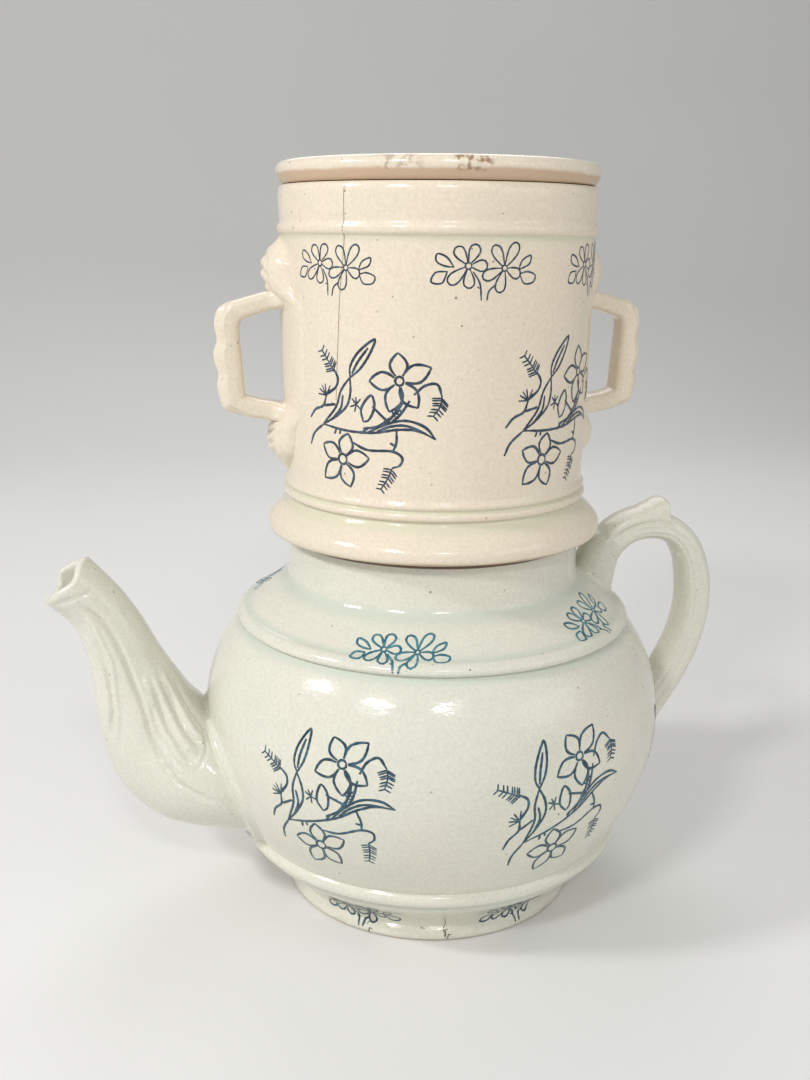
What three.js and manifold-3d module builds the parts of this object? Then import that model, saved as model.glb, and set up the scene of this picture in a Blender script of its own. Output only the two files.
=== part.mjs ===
// Drip coffee pot in glazed earthenware, in four loose pieces that stand on one another:
// a round pot with spout and handle, a two-handled filter vessel, a spreader dish and a lid.
// Millimetres, +Z up. The pot's axis is the Z axis and its foot stands at z = 0.
// The spout points along -X and the pot's handle along +X.

import * as THREE from 'three';
import { mergeVertices } from 'three/addons/utils/BufferGeometryUtils.js';
import Module from 'manifold-3d';

// Fits and walls
const FIRED_GAP = 0.3; // between pieces that touch
const POT_WALL = 4.6;
const SPOUT_WALL = 3.6;
const VESSEL_WALL = 4.4;
const SPIGOT_CLEARANCE = 1.0; // filter spigot in the neck, on the radius

// Levels, bottom to top
const UNDERSIDE_RECESS = 1.5;
const POT_FLOOR = 6.5;
const BASE_BEAD = 27.5;
const BEAD_TOP = 30.1;
const WIDEST = 75.5;
const RIDGE_FOOT = 111.7;
const SHOULDER_RIDGE = 113.2;
const NECK_FOOT = 128.2;
const NECK_TOP = 146.9;
const SPIGOT_BOTTOM = 130;
const VESSEL_RIM = 272.2;
const LID_TOP = 280.4;

// Radii
const FOOT_RADIUS = 58.2;
const BELLY_RADIUS = 89.5;
const NECK_RADIUS = 55.6;
const FLANGE_RADIUS = 63.3;
const VESSEL_RADIUS = 56.8;
const LID_RADIUS = 58.4;

// Facets round a turned piece, round a member joined on with slip, and round small things
const TURNED_SIDES = 40;
const LUTED_SIDES = 16;
const KNOB_SIDES = 24;
const HOLE_SIDES = 6;

// Rings along each member, and how square its section is (2 is an ellipse)
const spoutForm = { steps: 20, squareness: 2.2 };
const potHandleForm = { steps: 32, squareness: 2.5 };
const thumbRestForm = { steps: 9, squareness: 2.4 };
const filterHandleForm = { steps: 26, squareness: 2.8 };

const kernel = await Module();
kernel.setup();

// Glazes: a cool white on the pot, a warmer ivory on what stands above it
const potGlaze = { color: 0xdedccf, roughness: 0.22, metalness: 0 };
const vesselGlaze = { color: 0xe3dccb, roughness: 0.22, metalness: 0 };
const innerGlaze = { color: 0xe6dfd0, roughness: 0.3, metalness: 0 };

// Geometry to closed solid and back

function toSolid(geometry) {
  const bare = geometry.clone();
  bare.deleteAttribute('normal');
  bare.deleteAttribute('uv');
  const merged = mergeVertices(bare, 1e-4);
  const corners = Array.from(merged.index.array);
  const kept = [];
  for (let i = 0; i < corners.length; i += 3) {
    const [a, b, c] = corners.slice(i, i + 3);
    if (a !== b && b !== c && c !== a) kept.push(a, b, c);
  }
  const mesh = new kernel.Mesh({
    numProp: 3,
    vertProperties: new Float32Array(merged.attributes.position.array),
    triVerts: new Uint32Array(kept),
  });
  return new kernel.Manifold(mesh);
}

function toGeometry(solid) {
  const mesh = solid.getMesh();
  const geometry = new THREE.BufferGeometry();
  geometry.setAttribute('position', new THREE.BufferAttribute(new Float32Array(mesh.vertProperties), 3));
  geometry.setIndex(Array.from(mesh.triVerts));
  geometry.computeVertexNormals();
  return geometry;
}

function namedMesh(name, solid, glaze) {
  const mesh = new THREE.Mesh(toGeometry(solid), new THREE.MeshStandardMaterial(glaze));
  mesh.name = name;
  return mesh;
}

// A body of revolution about Z. The outline is [radius, height] points that run up the outside
// and down the inside, with both ends on the axis or the last point back at the first.
function turned(outline, sides = TURNED_SIDES) {
  const points = outline.map(([radius, height]) => new THREE.Vector2(radius, height));
  return toSolid(new THREE.LatheGeometry(points, sides).rotateX(Math.PI / 2));
}

// A tapering member that lies in the XZ plane. Each station gives its outer edge and inner edge
// as [x, z] and its width along Y; smooth curves run through the stations.
function luted(stations, { steps, grow = 0, squareness = 2 }) {
  const edge = (key) => new THREE.CatmullRomCurve3(
    stations.map((s) => new THREE.Vector3(s[key][0], 0, s[key][1])), false, 'centripetal');
  const outerEdge = edge('outer');
  const innerEdge = edge('inner');
  const widths = new THREE.CatmullRomCurve3(
    stations.map((s, i) => new THREE.Vector3(i, s.width, 0)), false, 'centripetal');
  const rings = [];
  for (let i = 0; i <= steps; i++) {
    const t = i / steps;
    const outer = outerEdge.getPoint(t);
    const inner = innerEdge.getPoint(t);
    const middle = outer.clone().add(inner).multiplyScalar(0.5);
    const reach = outer.clone().sub(middle);
    reach.setLength(reach.length() + grow);
    const halfWidth = widths.getPoint(t).y / 2 + grow;
    rings.push(sectionRing(middle, reach, halfWidth, squareness));
  }
  return skin(rings);
}

function sectionRing(middle, reach, halfWidth, squareness) {
  const ring = [];
  const round = (value) => Math.sign(value) * Math.abs(value) ** (2 / squareness);
  for (let k = 0; k < LUTED_SIDES; k++) {
    const angle = (2 * Math.PI * k) / LUTED_SIDES;
    const point = middle.clone().addScaledVector(reach, round(Math.cos(angle)));
    point.y += halfWidth * round(Math.sin(angle));
    ring.push(point);
  }
  return ring;
}

// Closes a row of rings into a solid, with a flat end at each side.
function skin(rings) {
  const sides = rings[0].length;
  const last = rings.length - 1;
  const centre = (ring) => ring.reduce((sum, p) => sum.add(p), new THREE.Vector3()).divideScalar(sides);
  const points = [...rings.flat(), centre(rings[0]), centre(rings[last])];
  const faces = [];
  for (let k = 0; k < sides; k++) {
    const next = (k + 1) % sides;
    for (let i = 0; i < last; i++) {
      const [a, b] = [i * sides + k, i * sides + next];
      faces.push(a, b, b + sides, a, b + sides, a + sides);
    }
    faces.push(points.length - 2, next, k);
    faces.push(points.length - 1, last * sides + k, last * sides + next);
  }
  const geometry = new THREE.BufferGeometry().setFromPoints(points);
  geometry.setIndex(faces);
  const solid = toSolid(geometry);
  return solid.volume() > 0 ? solid : toSolid(flipped(geometry));
}

function flipped(geometry) {
  const corners = geometry.index.array;
  for (let i = 0; i < corners.length; i += 3) {
    [corners[i + 1], corners[i + 2]] = [corners[i + 2], corners[i + 1]];
  }
  return geometry;
}

function mirroredX(stations) {
  const flip = ([x, z]) => [-x, z];
  return stations.map((s) => ({ ...s, outer: flip(s.outer), inner: flip(s.inner) }));
}

// Cuts round holes along Z on rings about the axis: ringCounts holds the holes on each ring.
function pierced(plate, { ringCounts, pitch, holeRadius, bottom, top }) {
  let result = plate;
  ringCounts.forEach((count, ring) => {
    for (let k = 0; k < count; k++) {
      const angle = (2 * Math.PI * k) / count + ring;
      const hole = new THREE.CylinderGeometry(holeRadius, holeRadius, top - bottom + 2, HOLE_SIDES);
      hole.rotateX(Math.PI / 2);
      hole.translate(ring * pitch * Math.cos(angle), ring * pitch * Math.sin(angle), (top + bottom) / 2);
      result = result.subtract(toSolid(hole));
    }
  });
  return result;
}

// The pot is built up in four courses that meet at its turned lines: the top of the base bead, the
// widest line of the belly, and the foot of the shoulder ridge. Each has an outside that runs up
// and an inside that runs down.

// Foot course: foot ring, curved base band, bead and floor
const footOutside = [
  [FOOT_RADIUS - 1, 0],
  [FOOT_RADIUS, 1],
  [FOOT_RADIUS - 0.4, 3],
  [56.4, 5],
  [58.6, 9.5],
  [63.6, 14.4],
  [69, 18.6],
  [73.2, 22.4],
  [74.4, BASE_BEAD - 2.7],
  [75.9, BASE_BEAD - 1.2],
  [76, BASE_BEAD + 1],
  [75.2, BEAD_TOP],
];
const footInside = [
  [70.2, BEAD_TOP],
  [65, 21.5],
  [54, 12],
  [40, POT_FLOOR + 1],
  [0, POT_FLOOR],
];

// Lower belly, which carries the spout and the foot of the handle
const bellyOutside = [
  [75.2, BEAD_TOP + FIRED_GAP],
  [78.8, 37],
  [83.3, 45.6],
  [86.8, 55.5],
  [88.9, 65.5],
  [BELLY_RADIUS, WIDEST],
];
const bellyInside = [
  [BELLY_RADIUS - POT_WALL, WIDEST],
  [83.4, 62],
  [79, 47.5],
  [72, 33],
  [70.4, BEAD_TOP + FIRED_GAP],
];

// Upper belly
const upperOutside = [
  [BELLY_RADIUS, WIDEST + FIRED_GAP],
  [88.7, 85],
  [86.2, 94],
  [82.6, 102.4],
  [78.6, 108.4],
  [74.9, RIDGE_FOOT],
];
const upperInside = [
  [69.6, RIDGE_FOOT],
  [77.5, 102],
  [82.5, 91],
  [BELLY_RADIUS - POT_WALL, WIDEST + FIRED_GAP],
];

// Shoulder and neck: the overhanging ridge, the sloping shoulder and the straight neck
const neckBore = NECK_RADIUS - POT_WALL;
const neckOutside = [
  [74.9, RIDGE_FOOT + FIRED_GAP],
  [75.7, SHOULDER_RIDGE],
  [74.9, SHOULDER_RIDGE + 1.6],
  [69, 119],
  [62.5, 124],
  [58.2, NECK_FOOT - 1],
  [NECK_RADIUS + 0.4, NECK_FOOT + 3],
  [NECK_RADIUS, 134],
  [NECK_RADIUS, NECK_TOP - 0.8],
  [NECK_RADIUS - 0.8, NECK_TOP],
];
const neckInside = [
  [neckBore + 0.8, NECK_TOP],
  [neckBore, NECK_TOP - 0.8],
  [neckBore, NECK_FOOT - 1],
  [58.5, 121],
  [68.5, 113],
  [69.3, RIDGE_FOOT + FIRED_GAP],
];

const underside = [
  [0, UNDERSIDE_RECESS],
  [FOOT_RADIUS - 9, UNDERSIDE_RECESS],
  [FOOT_RADIUS - 7.5, 0],
];

// The filled outside, grown by the gap, that seats the spout and the handle
function potSeat() {
  const courses = [...footOutside, ...bellyOutside, ...upperOutside, ...neckOutside];
  const grown = courses.map(([radius, height]) => [radius + FIRED_GAP, height]);
  return turned([[0, -1], [grown[0][0], -1], ...grown, [0, NECK_TOP]]);
}

// Spout: a wide root on the belly that sweeps up to a mouth cut square to its run
const spoutStations = [
  { outer: [-66, 27], inner: [-70, 70], width: 68 },
  { outer: [-86, 29.5], inner: [-86, 76], width: 67 },
  { outer: [-109, 35], inner: [-93, 82.5], width: 57 },
  { outer: [-124.5, 50], inner: [-99, 92], width: 41 },
  { outer: [-131, 74], inner: [-105.4, 102.6], width: 31 },
  { outer: [-132.8, 97], inner: [-112, 115], width: 25 },
  { outer: [-137.4, 112.8], inner: [-119.4, 126], width: 22.5 },
  { outer: [-148, 123.6], inner: [-131.4, 139.4], width: 24 },
];

const SPOUT_JOIN = 80; // where the root on the belly ends and the free tube starts
const spoutHole = { radius: 13, height: 50, length: 50 }; // through the belly wall, along X
const MOUTH_OVERRUN = 4;

function thinned(station, wall) {
  const outer = new THREE.Vector2(...station.outer);
  const inner = new THREE.Vector2(...station.inner);
  const step = inner.clone().sub(outer).setLength(wall);
  return {
    outer: outer.add(step).toArray(),
    inner: inner.sub(step).toArray(),
    width: station.width - 2 * wall,
  };
}

// Carries the bore past the mouth, so that the cut leaves it open
function spoutBore() {
  const stations = spoutStations.map((station) => thinned(station, SPOUT_WALL));
  const mouth = stations[stations.length - 1];
  const past = ([x, z]) => [x - MOUTH_OVERRUN, z + MOUTH_OVERRUN];
  const end = { outer: past(mouth.outer), inner: past(mouth.inner), width: mouth.width };
  return luted([...stations, end], spoutForm);
}

// Pot handle: up from the shoulder beside the neck, over, and down the belly
const potHandleStations = [
  { outer: [57, 112], inner: [71.5, 105], width: 20 },
  { outer: [59, 129], inner: [75, 122], width: 18.5 },
  { outer: [64, 139], inner: [77.2, 130.4], width: 17.5 },
  { outer: [74, 146], inner: [82.4, 135.8], width: 17 },
  { outer: [86, 150], inner: [89.5, 137.2], width: 17 },
  { outer: [99.6, 147.4], inner: [96, 134.6], width: 17 },
  { outer: [110.6, 138.6], inner: [100, 128.5], width: 17 },
  { outer: [116.4, 124], inner: [102.4, 119.5], width: 17.5 },
  { outer: [117.3, 109], inner: [102.8, 109], width: 17.5 },
  { outer: [114.4, 92], inner: [100.2, 97], width: 17 },
  { outer: [108.2, 77], inner: [95.3, 86], width: 16.5 },
  { outer: [100.2, 63], inner: [88.5, 75], width: 15.5 },
  { outer: [91, 48], inner: [80, 62], width: 14 },
  { outer: [74, 29], inner: [66, 44], width: 12 },
];

// Thumb rest: a tongue on top of the pot handle, with a lip that stands clear of it
const thumbRestStations = [
  { outer: [69, 144.4], inner: [72, 140], width: 8 },
  { outer: [77, 149.8], inner: [79, 143], width: 13 },
  { outer: [86, 153.2], inner: [87, 146], width: 15.5 },
  { outer: [93, 154.8], inner: [93.5, 148.8], width: 15 },
  { outer: [96.4, 152.8], inner: [96, 149.9], width: 10 },
];

// Filter flange: a turned ring that stands on the neck, with the spigot below it and the wall on top
const FLANGE_BOTTOM = NECK_TOP + FIRED_GAP;
const WALL_FOOT = 154;
const STRAINER_LEDGE = SPIGOT_BOTTOM + 3;
const spigotRadius = neckBore - SPIGOT_CLEARANCE;
const spigotBore = spigotRadius - VESSEL_WALL + 0.4;
const flangeLoop = [
  [spigotRadius - 1, SPIGOT_BOTTOM],
  [spigotRadius, SPIGOT_BOTTOM + 1],
  [spigotRadius, FLANGE_BOTTOM],
  [FLANGE_RADIUS - 0.9, FLANGE_BOTTOM],
  [FLANGE_RADIUS, 148.4],
  [FLANGE_RADIUS, 151.4],
  [62, WALL_FOOT - FIRED_GAP],
  [50.4, WALL_FOOT - FIRED_GAP],
  [spigotBore, 149],
  [spigotBore, STRAINER_LEDGE],
  [spigotBore - 3.6, STRAINER_LEDGE],
  [spigotBore - 3.6, SPIGOT_BOTTOM],
];

// Filter vessel: quarter round on the flange, two beads, wall, bead and rim band
const vesselBore = VESSEL_RADIUS - VESSEL_WALL;
const SPREADER_LEDGE = 258;
const REBATE_RADIUS = 54;

const vesselOutside = [
  [61.7, WALL_FOOT],
  [59.6, 156],
  [57, 159],
  [56, 160.8],
  [57.3, 161.6],
  [57.3, 163.4],
  [56, 164.8],
  [56.9, 165.6],
  [56.9, 167],
  [56, 168],
  [VESSEL_RADIUS, 200],
  [57.2, 255],
  [58.2, 256.3],
  [58.2, 258.7],
  [57.3, 260],
  [57.8, 262],
  [57.8, 270],
  [57.2, VESSEL_RIM - 0.6],
  [56.4, VESSEL_RIM],
];

const vesselInside = [
  [REBATE_RADIUS + 0.4, VESSEL_RIM],
  [REBATE_RADIUS, VESSEL_RIM - 0.6],
  [REBATE_RADIUS, SPREADER_LEDGE],
  [vesselBore, SPREADER_LEDGE],
  [vesselBore, 158],
  [50.5, WALL_FOOT],
];

function vesselSeat() {
  const grown = vesselOutside.map(([radius, height]) => [radius + FIRED_GAP, height]);
  return turned([[0, WALL_FOOT], ...grown, [0, VESSEL_RIM]]);
}

// Strainer: the pierced floor that holds the grounds, luted on the ledge in the spigot
const strainer = {
  radius: spigotBore - FIRED_GAP - 0.2,
  bottom: STRAINER_LEDGE + FIRED_GAP,
  top: STRAINER_LEDGE + 4.3,
  ringCounts: [1, 6, 12, 18],
  pitch: 11,
  holeRadius: 1.4,
};

// Filter handle, drawn on the +X side: a moulded angular loop, thickest at the grip
const filterHandleStations = [
  { outer: [53, 239.6], inner: [53, 231.6], width: 13 },
  { outer: [64, 236.4], inner: [64, 228], width: 12 },
  { outer: [74, 233.4], inner: [70, 226], width: 11.5 },
  { outer: [79.8, 229.2], inner: [72.2, 222.6], width: 11.5 },
  { outer: [81.6, 216], inner: [72.4, 214], width: 12 },
  { outer: [80.9, 203], inner: [72.2, 203.5], width: 11.5 },
  { outer: [79.2, 194.6], inner: [70.6, 199.6], width: 11.5 },
  { outer: [70, 190.2], inner: [65, 197.4], width: 12 },
  { outer: [53, 186.4], inner: [53, 195.2], width: 13 },
];

// Leaves: moulded mounds that rise from the wall above and below each filter handle
const leaf = { reach: 12, halfWidth: 17, halfHeight: 13.2, seat: 51.8 };
const leafHeights = { upper: 243.4, lower: 181.8 };

// Spreader: a dish with a pierced floor and a flange that hangs on the ledge in the vessel
const SPREADER_FLOOR = 245.5;
const SPREADER_PLATE = 3.6;
const SPREADER_RIM = 262;
const spreaderOutline = [
  [0, SPREADER_FLOOR],
  [45.5, SPREADER_FLOOR],
  [47.5, SPREADER_FLOOR + 2],
  [49.6, SPREADER_LEDGE + FIRED_GAP],
  [REBATE_RADIUS - 0.7, SPREADER_LEDGE + FIRED_GAP],
  [REBATE_RADIUS - 0.7, SPREADER_RIM - 0.6],
  [REBATE_RADIUS - 1.3, SPREADER_RIM],
  [48, SPREADER_RIM],
  [46, SPREADER_LEDGE],
  [43.8, SPREADER_FLOOR + SPREADER_PLATE + 0.9],
  [42.8, SPREADER_FLOOR + SPREADER_PLATE],
  [0, SPREADER_FLOOR + SPREADER_PLATE],
];
const spreaderHoles = {
  ringCounts: [0, 0, 10, 15],
  pitch: 11.5,
  holeRadius: 1.5,
  bottom: SPREADER_FLOOR,
  top: SPREADER_FLOOR + SPREADER_PLATE,
};

// A turned knob: a foot, a narrow waist and a domed head
function knob({ bottom, top, headRadius }) {
  const waist = headRadius * 0.62;
  const height = top - bottom;
  return turned([
    [0, bottom],
    [headRadius * 0.8, bottom],
    [waist, bottom + height * 0.25],
    [waist, bottom + height * 0.45],
    [headRadius, bottom + height * 0.68],
    [headRadius * 0.94, bottom + height * 0.86],
    [headRadius * 0.6, top - 0.4],
    [0, top],
  ], KNOB_SIDES);
}
const spreaderKnob = { bottom: SPREADER_FLOOR + SPREADER_PLATE + FIRED_GAP, top: 264, headRadius: 9 };

// Lid: bevelled bare edge, rounded glazed shoulder, and a sunken middle that holds its knob
const LID_BOTTOM = VESSEL_RIM + FIRED_GAP;
const LID_WELL = 272;
const LID_UNDERSIDE = 267.6;
const lidKnob = { bottom: LID_WELL + FIRED_GAP, top: 283.2, headRadius: 11 };
const lidOutline = [
  [0, LID_UNDERSIDE],
  [50.8, LID_UNDERSIDE],
  [52.2, LID_UNDERSIDE + 1.2],
  [52.2, LID_BOTTOM],
  [56.4, LID_BOTTOM],
  [57.8, LID_BOTTOM + 2.4],
  [LID_RADIUS, LID_BOTTOM + 4],
  [LID_RADIUS, LID_TOP - 2.8],
  [57.5, LID_TOP - 1],
  [55, LID_TOP - 0.1],
  [50.5, LID_TOP],
  [47, LID_TOP - 1.6],
  [43.5, 274.2],
  [40.5, LID_WELL + 0.4],
  [38, LID_WELL],
  [0, LID_WELL],
];

// Luted and turned solids

const potSeatSolid = potSeat();
const vesselSeatSolid = vesselSeat();

function ring(outside, inside) {
  return turned([...outside, ...inside, outside[0]]);
}

function lowerBelly() {
  const hole = new THREE.CylinderGeometry(spoutHole.radius, spoutHole.radius, spoutHole.length, KNOB_SIDES);
  hole.rotateZ(Math.PI / 2);
  hole.translate(-BELLY_RADIUS, 0, spoutHole.height);
  return ring(bellyOutside, bellyInside).subtract(toSolid(hole));
}

function potSpout() {
  const whole = luted(spoutStations, spoutForm).subtract(spoutBore()).subtract(potSeatSolid);
  return {
    root: whole.trimByPlane([0, 0, -1], -SPOUT_JOIN),
    tube: whole.trimByPlane([0, 0, 1], SPOUT_JOIN + FIRED_GAP),
  };
}

function potHandle() {
  return luted(potHandleStations, potHandleForm).subtract(potSeatSolid);
}

function thumbRest() {
  const handle = luted(potHandleStations, { ...potHandleForm, grow: FIRED_GAP });
  return luted(thumbRestStations, thumbRestForm).subtract(handle);
}

function filterLeaf(side, height, handleStations) {
  const mound = new THREE.SphereGeometry(1, 16, 10);
  mound.rotateX(Math.PI / 2);
  mound.scale(leaf.reach, leaf.halfWidth, leaf.halfHeight);
  mound.translate(side * leaf.seat, 0, height);
  const handle = luted(handleStations, { ...filterHandleForm, grow: FIRED_GAP });
  return toSolid(mound).subtract(vesselSeatSolid).subtract(handle);
}

const coffeePot = new THREE.Group();

const spout = potSpout();
coffeePot.add(
  namedMesh('pot_foot', turned([...underside, ...footOutside, ...footInside]), potGlaze),
  namedMesh('pot_belly_lower', lowerBelly(), potGlaze),
  namedMesh('pot_belly_upper', ring(upperOutside, upperInside), potGlaze),
  namedMesh('pot_neck', ring(neckOutside, neckInside), potGlaze),
  namedMesh('pot_spout_root', spout.root, potGlaze),
  namedMesh('pot_spout', spout.tube, potGlaze),
  namedMesh('pot_handle', potHandle(), potGlaze),
  namedMesh('pot_thumb_rest', thumbRest(), potGlaze),
);

coffeePot.add(
  namedMesh('filter_flange', turned([...flangeLoop, flangeLoop[0]]), vesselGlaze),
  namedMesh('filter_vessel', ring(vesselOutside, vesselInside), vesselGlaze),
);

const strainerPlate = turned([
  [0, strainer.bottom],
  [strainer.radius, strainer.bottom],
  [strainer.radius, strainer.top],
  [0, strainer.top],
]);
coffeePot.add(namedMesh('filter_strainer', pierced(strainerPlate, strainer), innerGlaze));

for (const [word, side] of [['left', -1], ['right', 1]]) {
  const stations = side < 0 ? mirroredX(filterHandleStations) : filterHandleStations;
  const loop = luted(stations, filterHandleForm).subtract(vesselSeatSolid);
  coffeePot.add(namedMesh(`filter_handle_${word}`, loop, vesselGlaze));
  for (const [level, height] of Object.entries(leafHeights)) {
    const mound = filterLeaf(side, height, stations);
    coffeePot.add(namedMesh(`filter_leaf_${level}_${word}`, mound, vesselGlaze));
  }
}

const spreaderDish = pierced(turned(spreaderOutline), spreaderHoles);
coffeePot.add(
  namedMesh('spreader_dish', spreaderDish, innerGlaze),
  namedMesh('spreader_knob', knob(spreaderKnob), innerGlaze),
  namedMesh('lid_disc', turned(lidOutline), vesselGlaze),
  namedMesh('lid_knob', knob(lidKnob), vesselGlaze),
);

export default coffeePot;
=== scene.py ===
import bpy
import math
from bisect import bisect_right
from mathutils import Matrix, Vector
from mathutils.kdtree import KDTree


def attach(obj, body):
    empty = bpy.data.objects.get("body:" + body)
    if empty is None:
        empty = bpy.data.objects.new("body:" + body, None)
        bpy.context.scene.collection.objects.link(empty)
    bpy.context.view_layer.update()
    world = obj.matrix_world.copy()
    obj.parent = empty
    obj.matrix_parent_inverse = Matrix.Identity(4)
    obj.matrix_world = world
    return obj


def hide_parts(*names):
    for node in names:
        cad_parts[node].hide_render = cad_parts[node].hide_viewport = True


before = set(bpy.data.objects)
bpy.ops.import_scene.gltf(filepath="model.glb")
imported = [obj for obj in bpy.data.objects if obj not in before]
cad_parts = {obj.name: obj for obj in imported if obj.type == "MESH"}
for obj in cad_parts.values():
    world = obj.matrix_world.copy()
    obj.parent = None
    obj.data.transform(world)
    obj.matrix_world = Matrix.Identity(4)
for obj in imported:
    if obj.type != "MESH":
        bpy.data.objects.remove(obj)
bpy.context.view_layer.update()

# Pot body
# A round jug form in cream earthenware, turned on the wheel in one piece: foot ring, base band,
# bead, belly, an overhanging shoulder ridge, and a straight neck that the filter sits in.

MM = 0.001
POT_TURNS = 160
# Sections as (radius, height) in mm, all round: underside, outside, inside
pot_outside = [
    (50.6, 0.05), (52, 0), (56.6, 0), (57.9, 0.5), (58.3, 1.6), (58, 3.2), (57.1, 4.4), (56.5, 5.2),
    (56.9, 6.6), (58.7, 9.5), (61, 12.1), (63.9, 14.6), (69, 18.6), (71.8, 21.1), (73.2, 22.9),
    (73.6, 23.9), (73.8, 24.4), (74.7, 24.7), (75.7, 25.4), (76.2, 26.6), (76.3, 27.7), (76, 28.9),
    (75.3, 29.6), (74.9, 30.1), (75.5, 30.9), (78.7, 36.6), (83.3, 45.6), (86.8, 55.5), (88.9, 65.5),
    (89.5, 75.5), (88.7, 85), (86.2, 94), (82.6, 102.2), (78.8, 108), (75.6, 111.3), (74.8, 112),
    (75.1, 112.3), (75.8, 112.7), (76.3, 113.4), (76.2, 114.4), (75.5, 115.5), (74.5, 116.3),
    (73.5, 116.8), (72.8, 116.9), (72.1, 117), (71.2, 117.5), (69, 119.1), (62.5, 123.8),
    (59.2, 126.2), (57.8, 127.3), (56.8, 128.4), (56.1, 130.2), (55.7, 133), (55.6, 138), (55.6, 144.6),
    (55.4, 146.2), (54.8, 146.9),
]
pot_inside = [
    (54.8, 146.9), (52.4, 146.9), (51.3, 146.4), (51, 145.4), (51, 138), (51, 128.5), (52.5, 126.2),
    (58.5, 121), (68.5, 113), (77.5, 102), (82.5, 91), (84.9, 76), (83.4, 62), (79, 47.5), (72, 33),
    (65, 21.5), (54, 12), (40, 7.5), (20, 6.6), (0, 6.5),
]
pot_underside = [(0, 1.5), (30, 1.5), (48.2, 1.5), (49.6, 1.1), (50.6, 0.05)]
POUR_HOLE_RADIUS, POUR_HOLE_DEPTH = 13, 30
POUR_HOLE_X, POUR_HOLE_Z = -88, 50


def through(points, counts):
    """A smooth run through the points, with counts[i] steps from point i to the next."""
    line = [Vector(p) for p in points]
    ends = [2 * line[0] - line[1]] + line + [2 * line[-1] - line[-2]]
    run = [line[0]]
    for i, steps in enumerate(counts):
        a, b, c, d = ends[i:i + 4]
        tb = max((b - a).length, 1e-6) ** 0.5
        tc = tb + max((c - b).length, 1e-6) ** 0.5
        td = tc + max((d - c).length, 1e-6) ** 0.5
        for s in range(1, steps + 1):
            t = tb + (tc - tb) * s / steps
            ab = a + (b - a) * (t / tb)
            bc = b + (c - b) * ((t - tb) / (tc - tb))
            cd = c + (d - c) * ((t - tc) / (td - tc))
            abc = ab + (bc - ab) * (t / tc)
            bcd = bc + (cd - bc) * ((t - tb) / (td - tb))
            run.append(abc + (bcd - abc) * ((t - tb) / (tc - tb)))
    return run


def outline(points, step=1.3):
    """The section of a turned piece: a smooth line through its points, in steps of about 1.3 mm."""
    gaps = [(Vector(b) - Vector(a)).length for a, b in zip(points, points[1:])]
    return through(points, [max(1, round(gap / step)) for gap in gaps])


def only(piece):
    bpy.ops.object.select_all(action="DESELECT")
    piece.select_set(True)
    bpy.context.view_layer.objects.active = piece


def faced_out(piece):
    """Turns all faces of a finished piece outwards and shades it smooth."""
    only(piece)
    bpy.ops.object.mode_set(mode="EDIT")
    bpy.ops.mesh.select_all(action="SELECT")
    bpy.ops.mesh.normals_make_consistent(inside=False)
    bpy.ops.object.mode_set(mode="OBJECT")
    bpy.ops.object.shade_smooth()
    return piece


def turned(name, section, turns, closed=False):
    """Spins a section of (radius, height) in mm about the Z axis into one closed body."""
    bpy.ops.object.select_all(action="DESELECT")
    bpy.ops.mesh.primitive_circle_add(vertices=len(section), radius=1, location=(0, 0, 0))
    piece = bpy.context.object
    piece.name = name
    for vertex, (radius, height) in zip(piece.data.vertices, section):
        vertex.co = (radius * MM, 0, height * MM)
    last = len(section) - 1
    for edge in piece.data.edges:
        edge.select = not closed and set(edge.vertices) == {0, last}
    for vertex in piece.data.vertices:
        vertex.select = False
    bpy.ops.object.mode_set(mode="EDIT")
    bpy.ops.mesh.select_mode(type="EDGE")
    if not closed:
        bpy.ops.mesh.delete(type="EDGE")
    bpy.ops.mesh.select_mode(type="VERT")
    bpy.ops.mesh.select_all(action="SELECT")
    bpy.ops.mesh.spin(steps=turns, angle=math.tau, center=(0, 0, 0), axis=(0, 0, 1))
    bpy.ops.mesh.select_all(action="SELECT")
    bpy.ops.mesh.remove_doubles(threshold=0.00001)
    bpy.ops.object.mode_set(mode="OBJECT")
    return faced_out(piece)


def cut_away(piece, tool, sharp_from):
    """Takes a tool's shape out of a piece. Edges sharper than sharp_from degrees stay crisp."""
    only(piece)
    bpy.ops.object.modifier_add(type="BOOLEAN")
    cut = piece.modifiers[-1]
    cut.object = tool
    cut.operation = "DIFFERENCE"
    bpy.ops.object.modifier_apply(modifier=cut.name)
    bpy.data.objects.remove(tool)
    bpy.ops.object.shade_smooth_by_angle(angle=math.radians(sharp_from))


def put(tree, kind, feeds=None, **settings):
    """Adds a shader node, with its settings and what feeds each of its sockets."""
    made = tree.nodes.new(kind)
    for key, value in settings.items():
        setattr(made, key, value)
    for socket, value in (feeds or {}).items():
        if isinstance(value, bpy.types.NodeSocket):
            tree.links.new(value, made.inputs[socket])
        else:
            made.inputs[socket].default_value = value
    return made


def between(tree, value, low, high, to_low=0.0, to_high=1.0):
    """A smooth step: to_low below low, to_high above high."""
    feeds = {"Value": value, "From Min": low, "From Max": high, "To Min": to_low, "To Max": to_high}
    return put(tree, "ShaderNodeMapRange", feeds, interpolation_type="SMOOTHSTEP").outputs["Result"]


def mixed(tree, factor, first, second, blend="MIX"):
    made = put(tree, "ShaderNodeMix", data_type="RGBA", blend_type=blend)
    for index, value in ((0, factor), (6, first), (7, second)):
        if isinstance(value, bpy.types.NodeSocket):
            tree.links.new(value, made.inputs[index])
        else:
            made.inputs[index].default_value = value
    return made.outputs[2]


def maths(tree, operation, first, second=0.0, third=0.0):
    feeds = {0: first, 1: second, 2: third}
    return put(tree, "ShaderNodeMath", feeds, operation=operation).outputs[0]


def times(tree, first, second):
    return maths(tree, "MULTIPLY", first, second)


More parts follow.
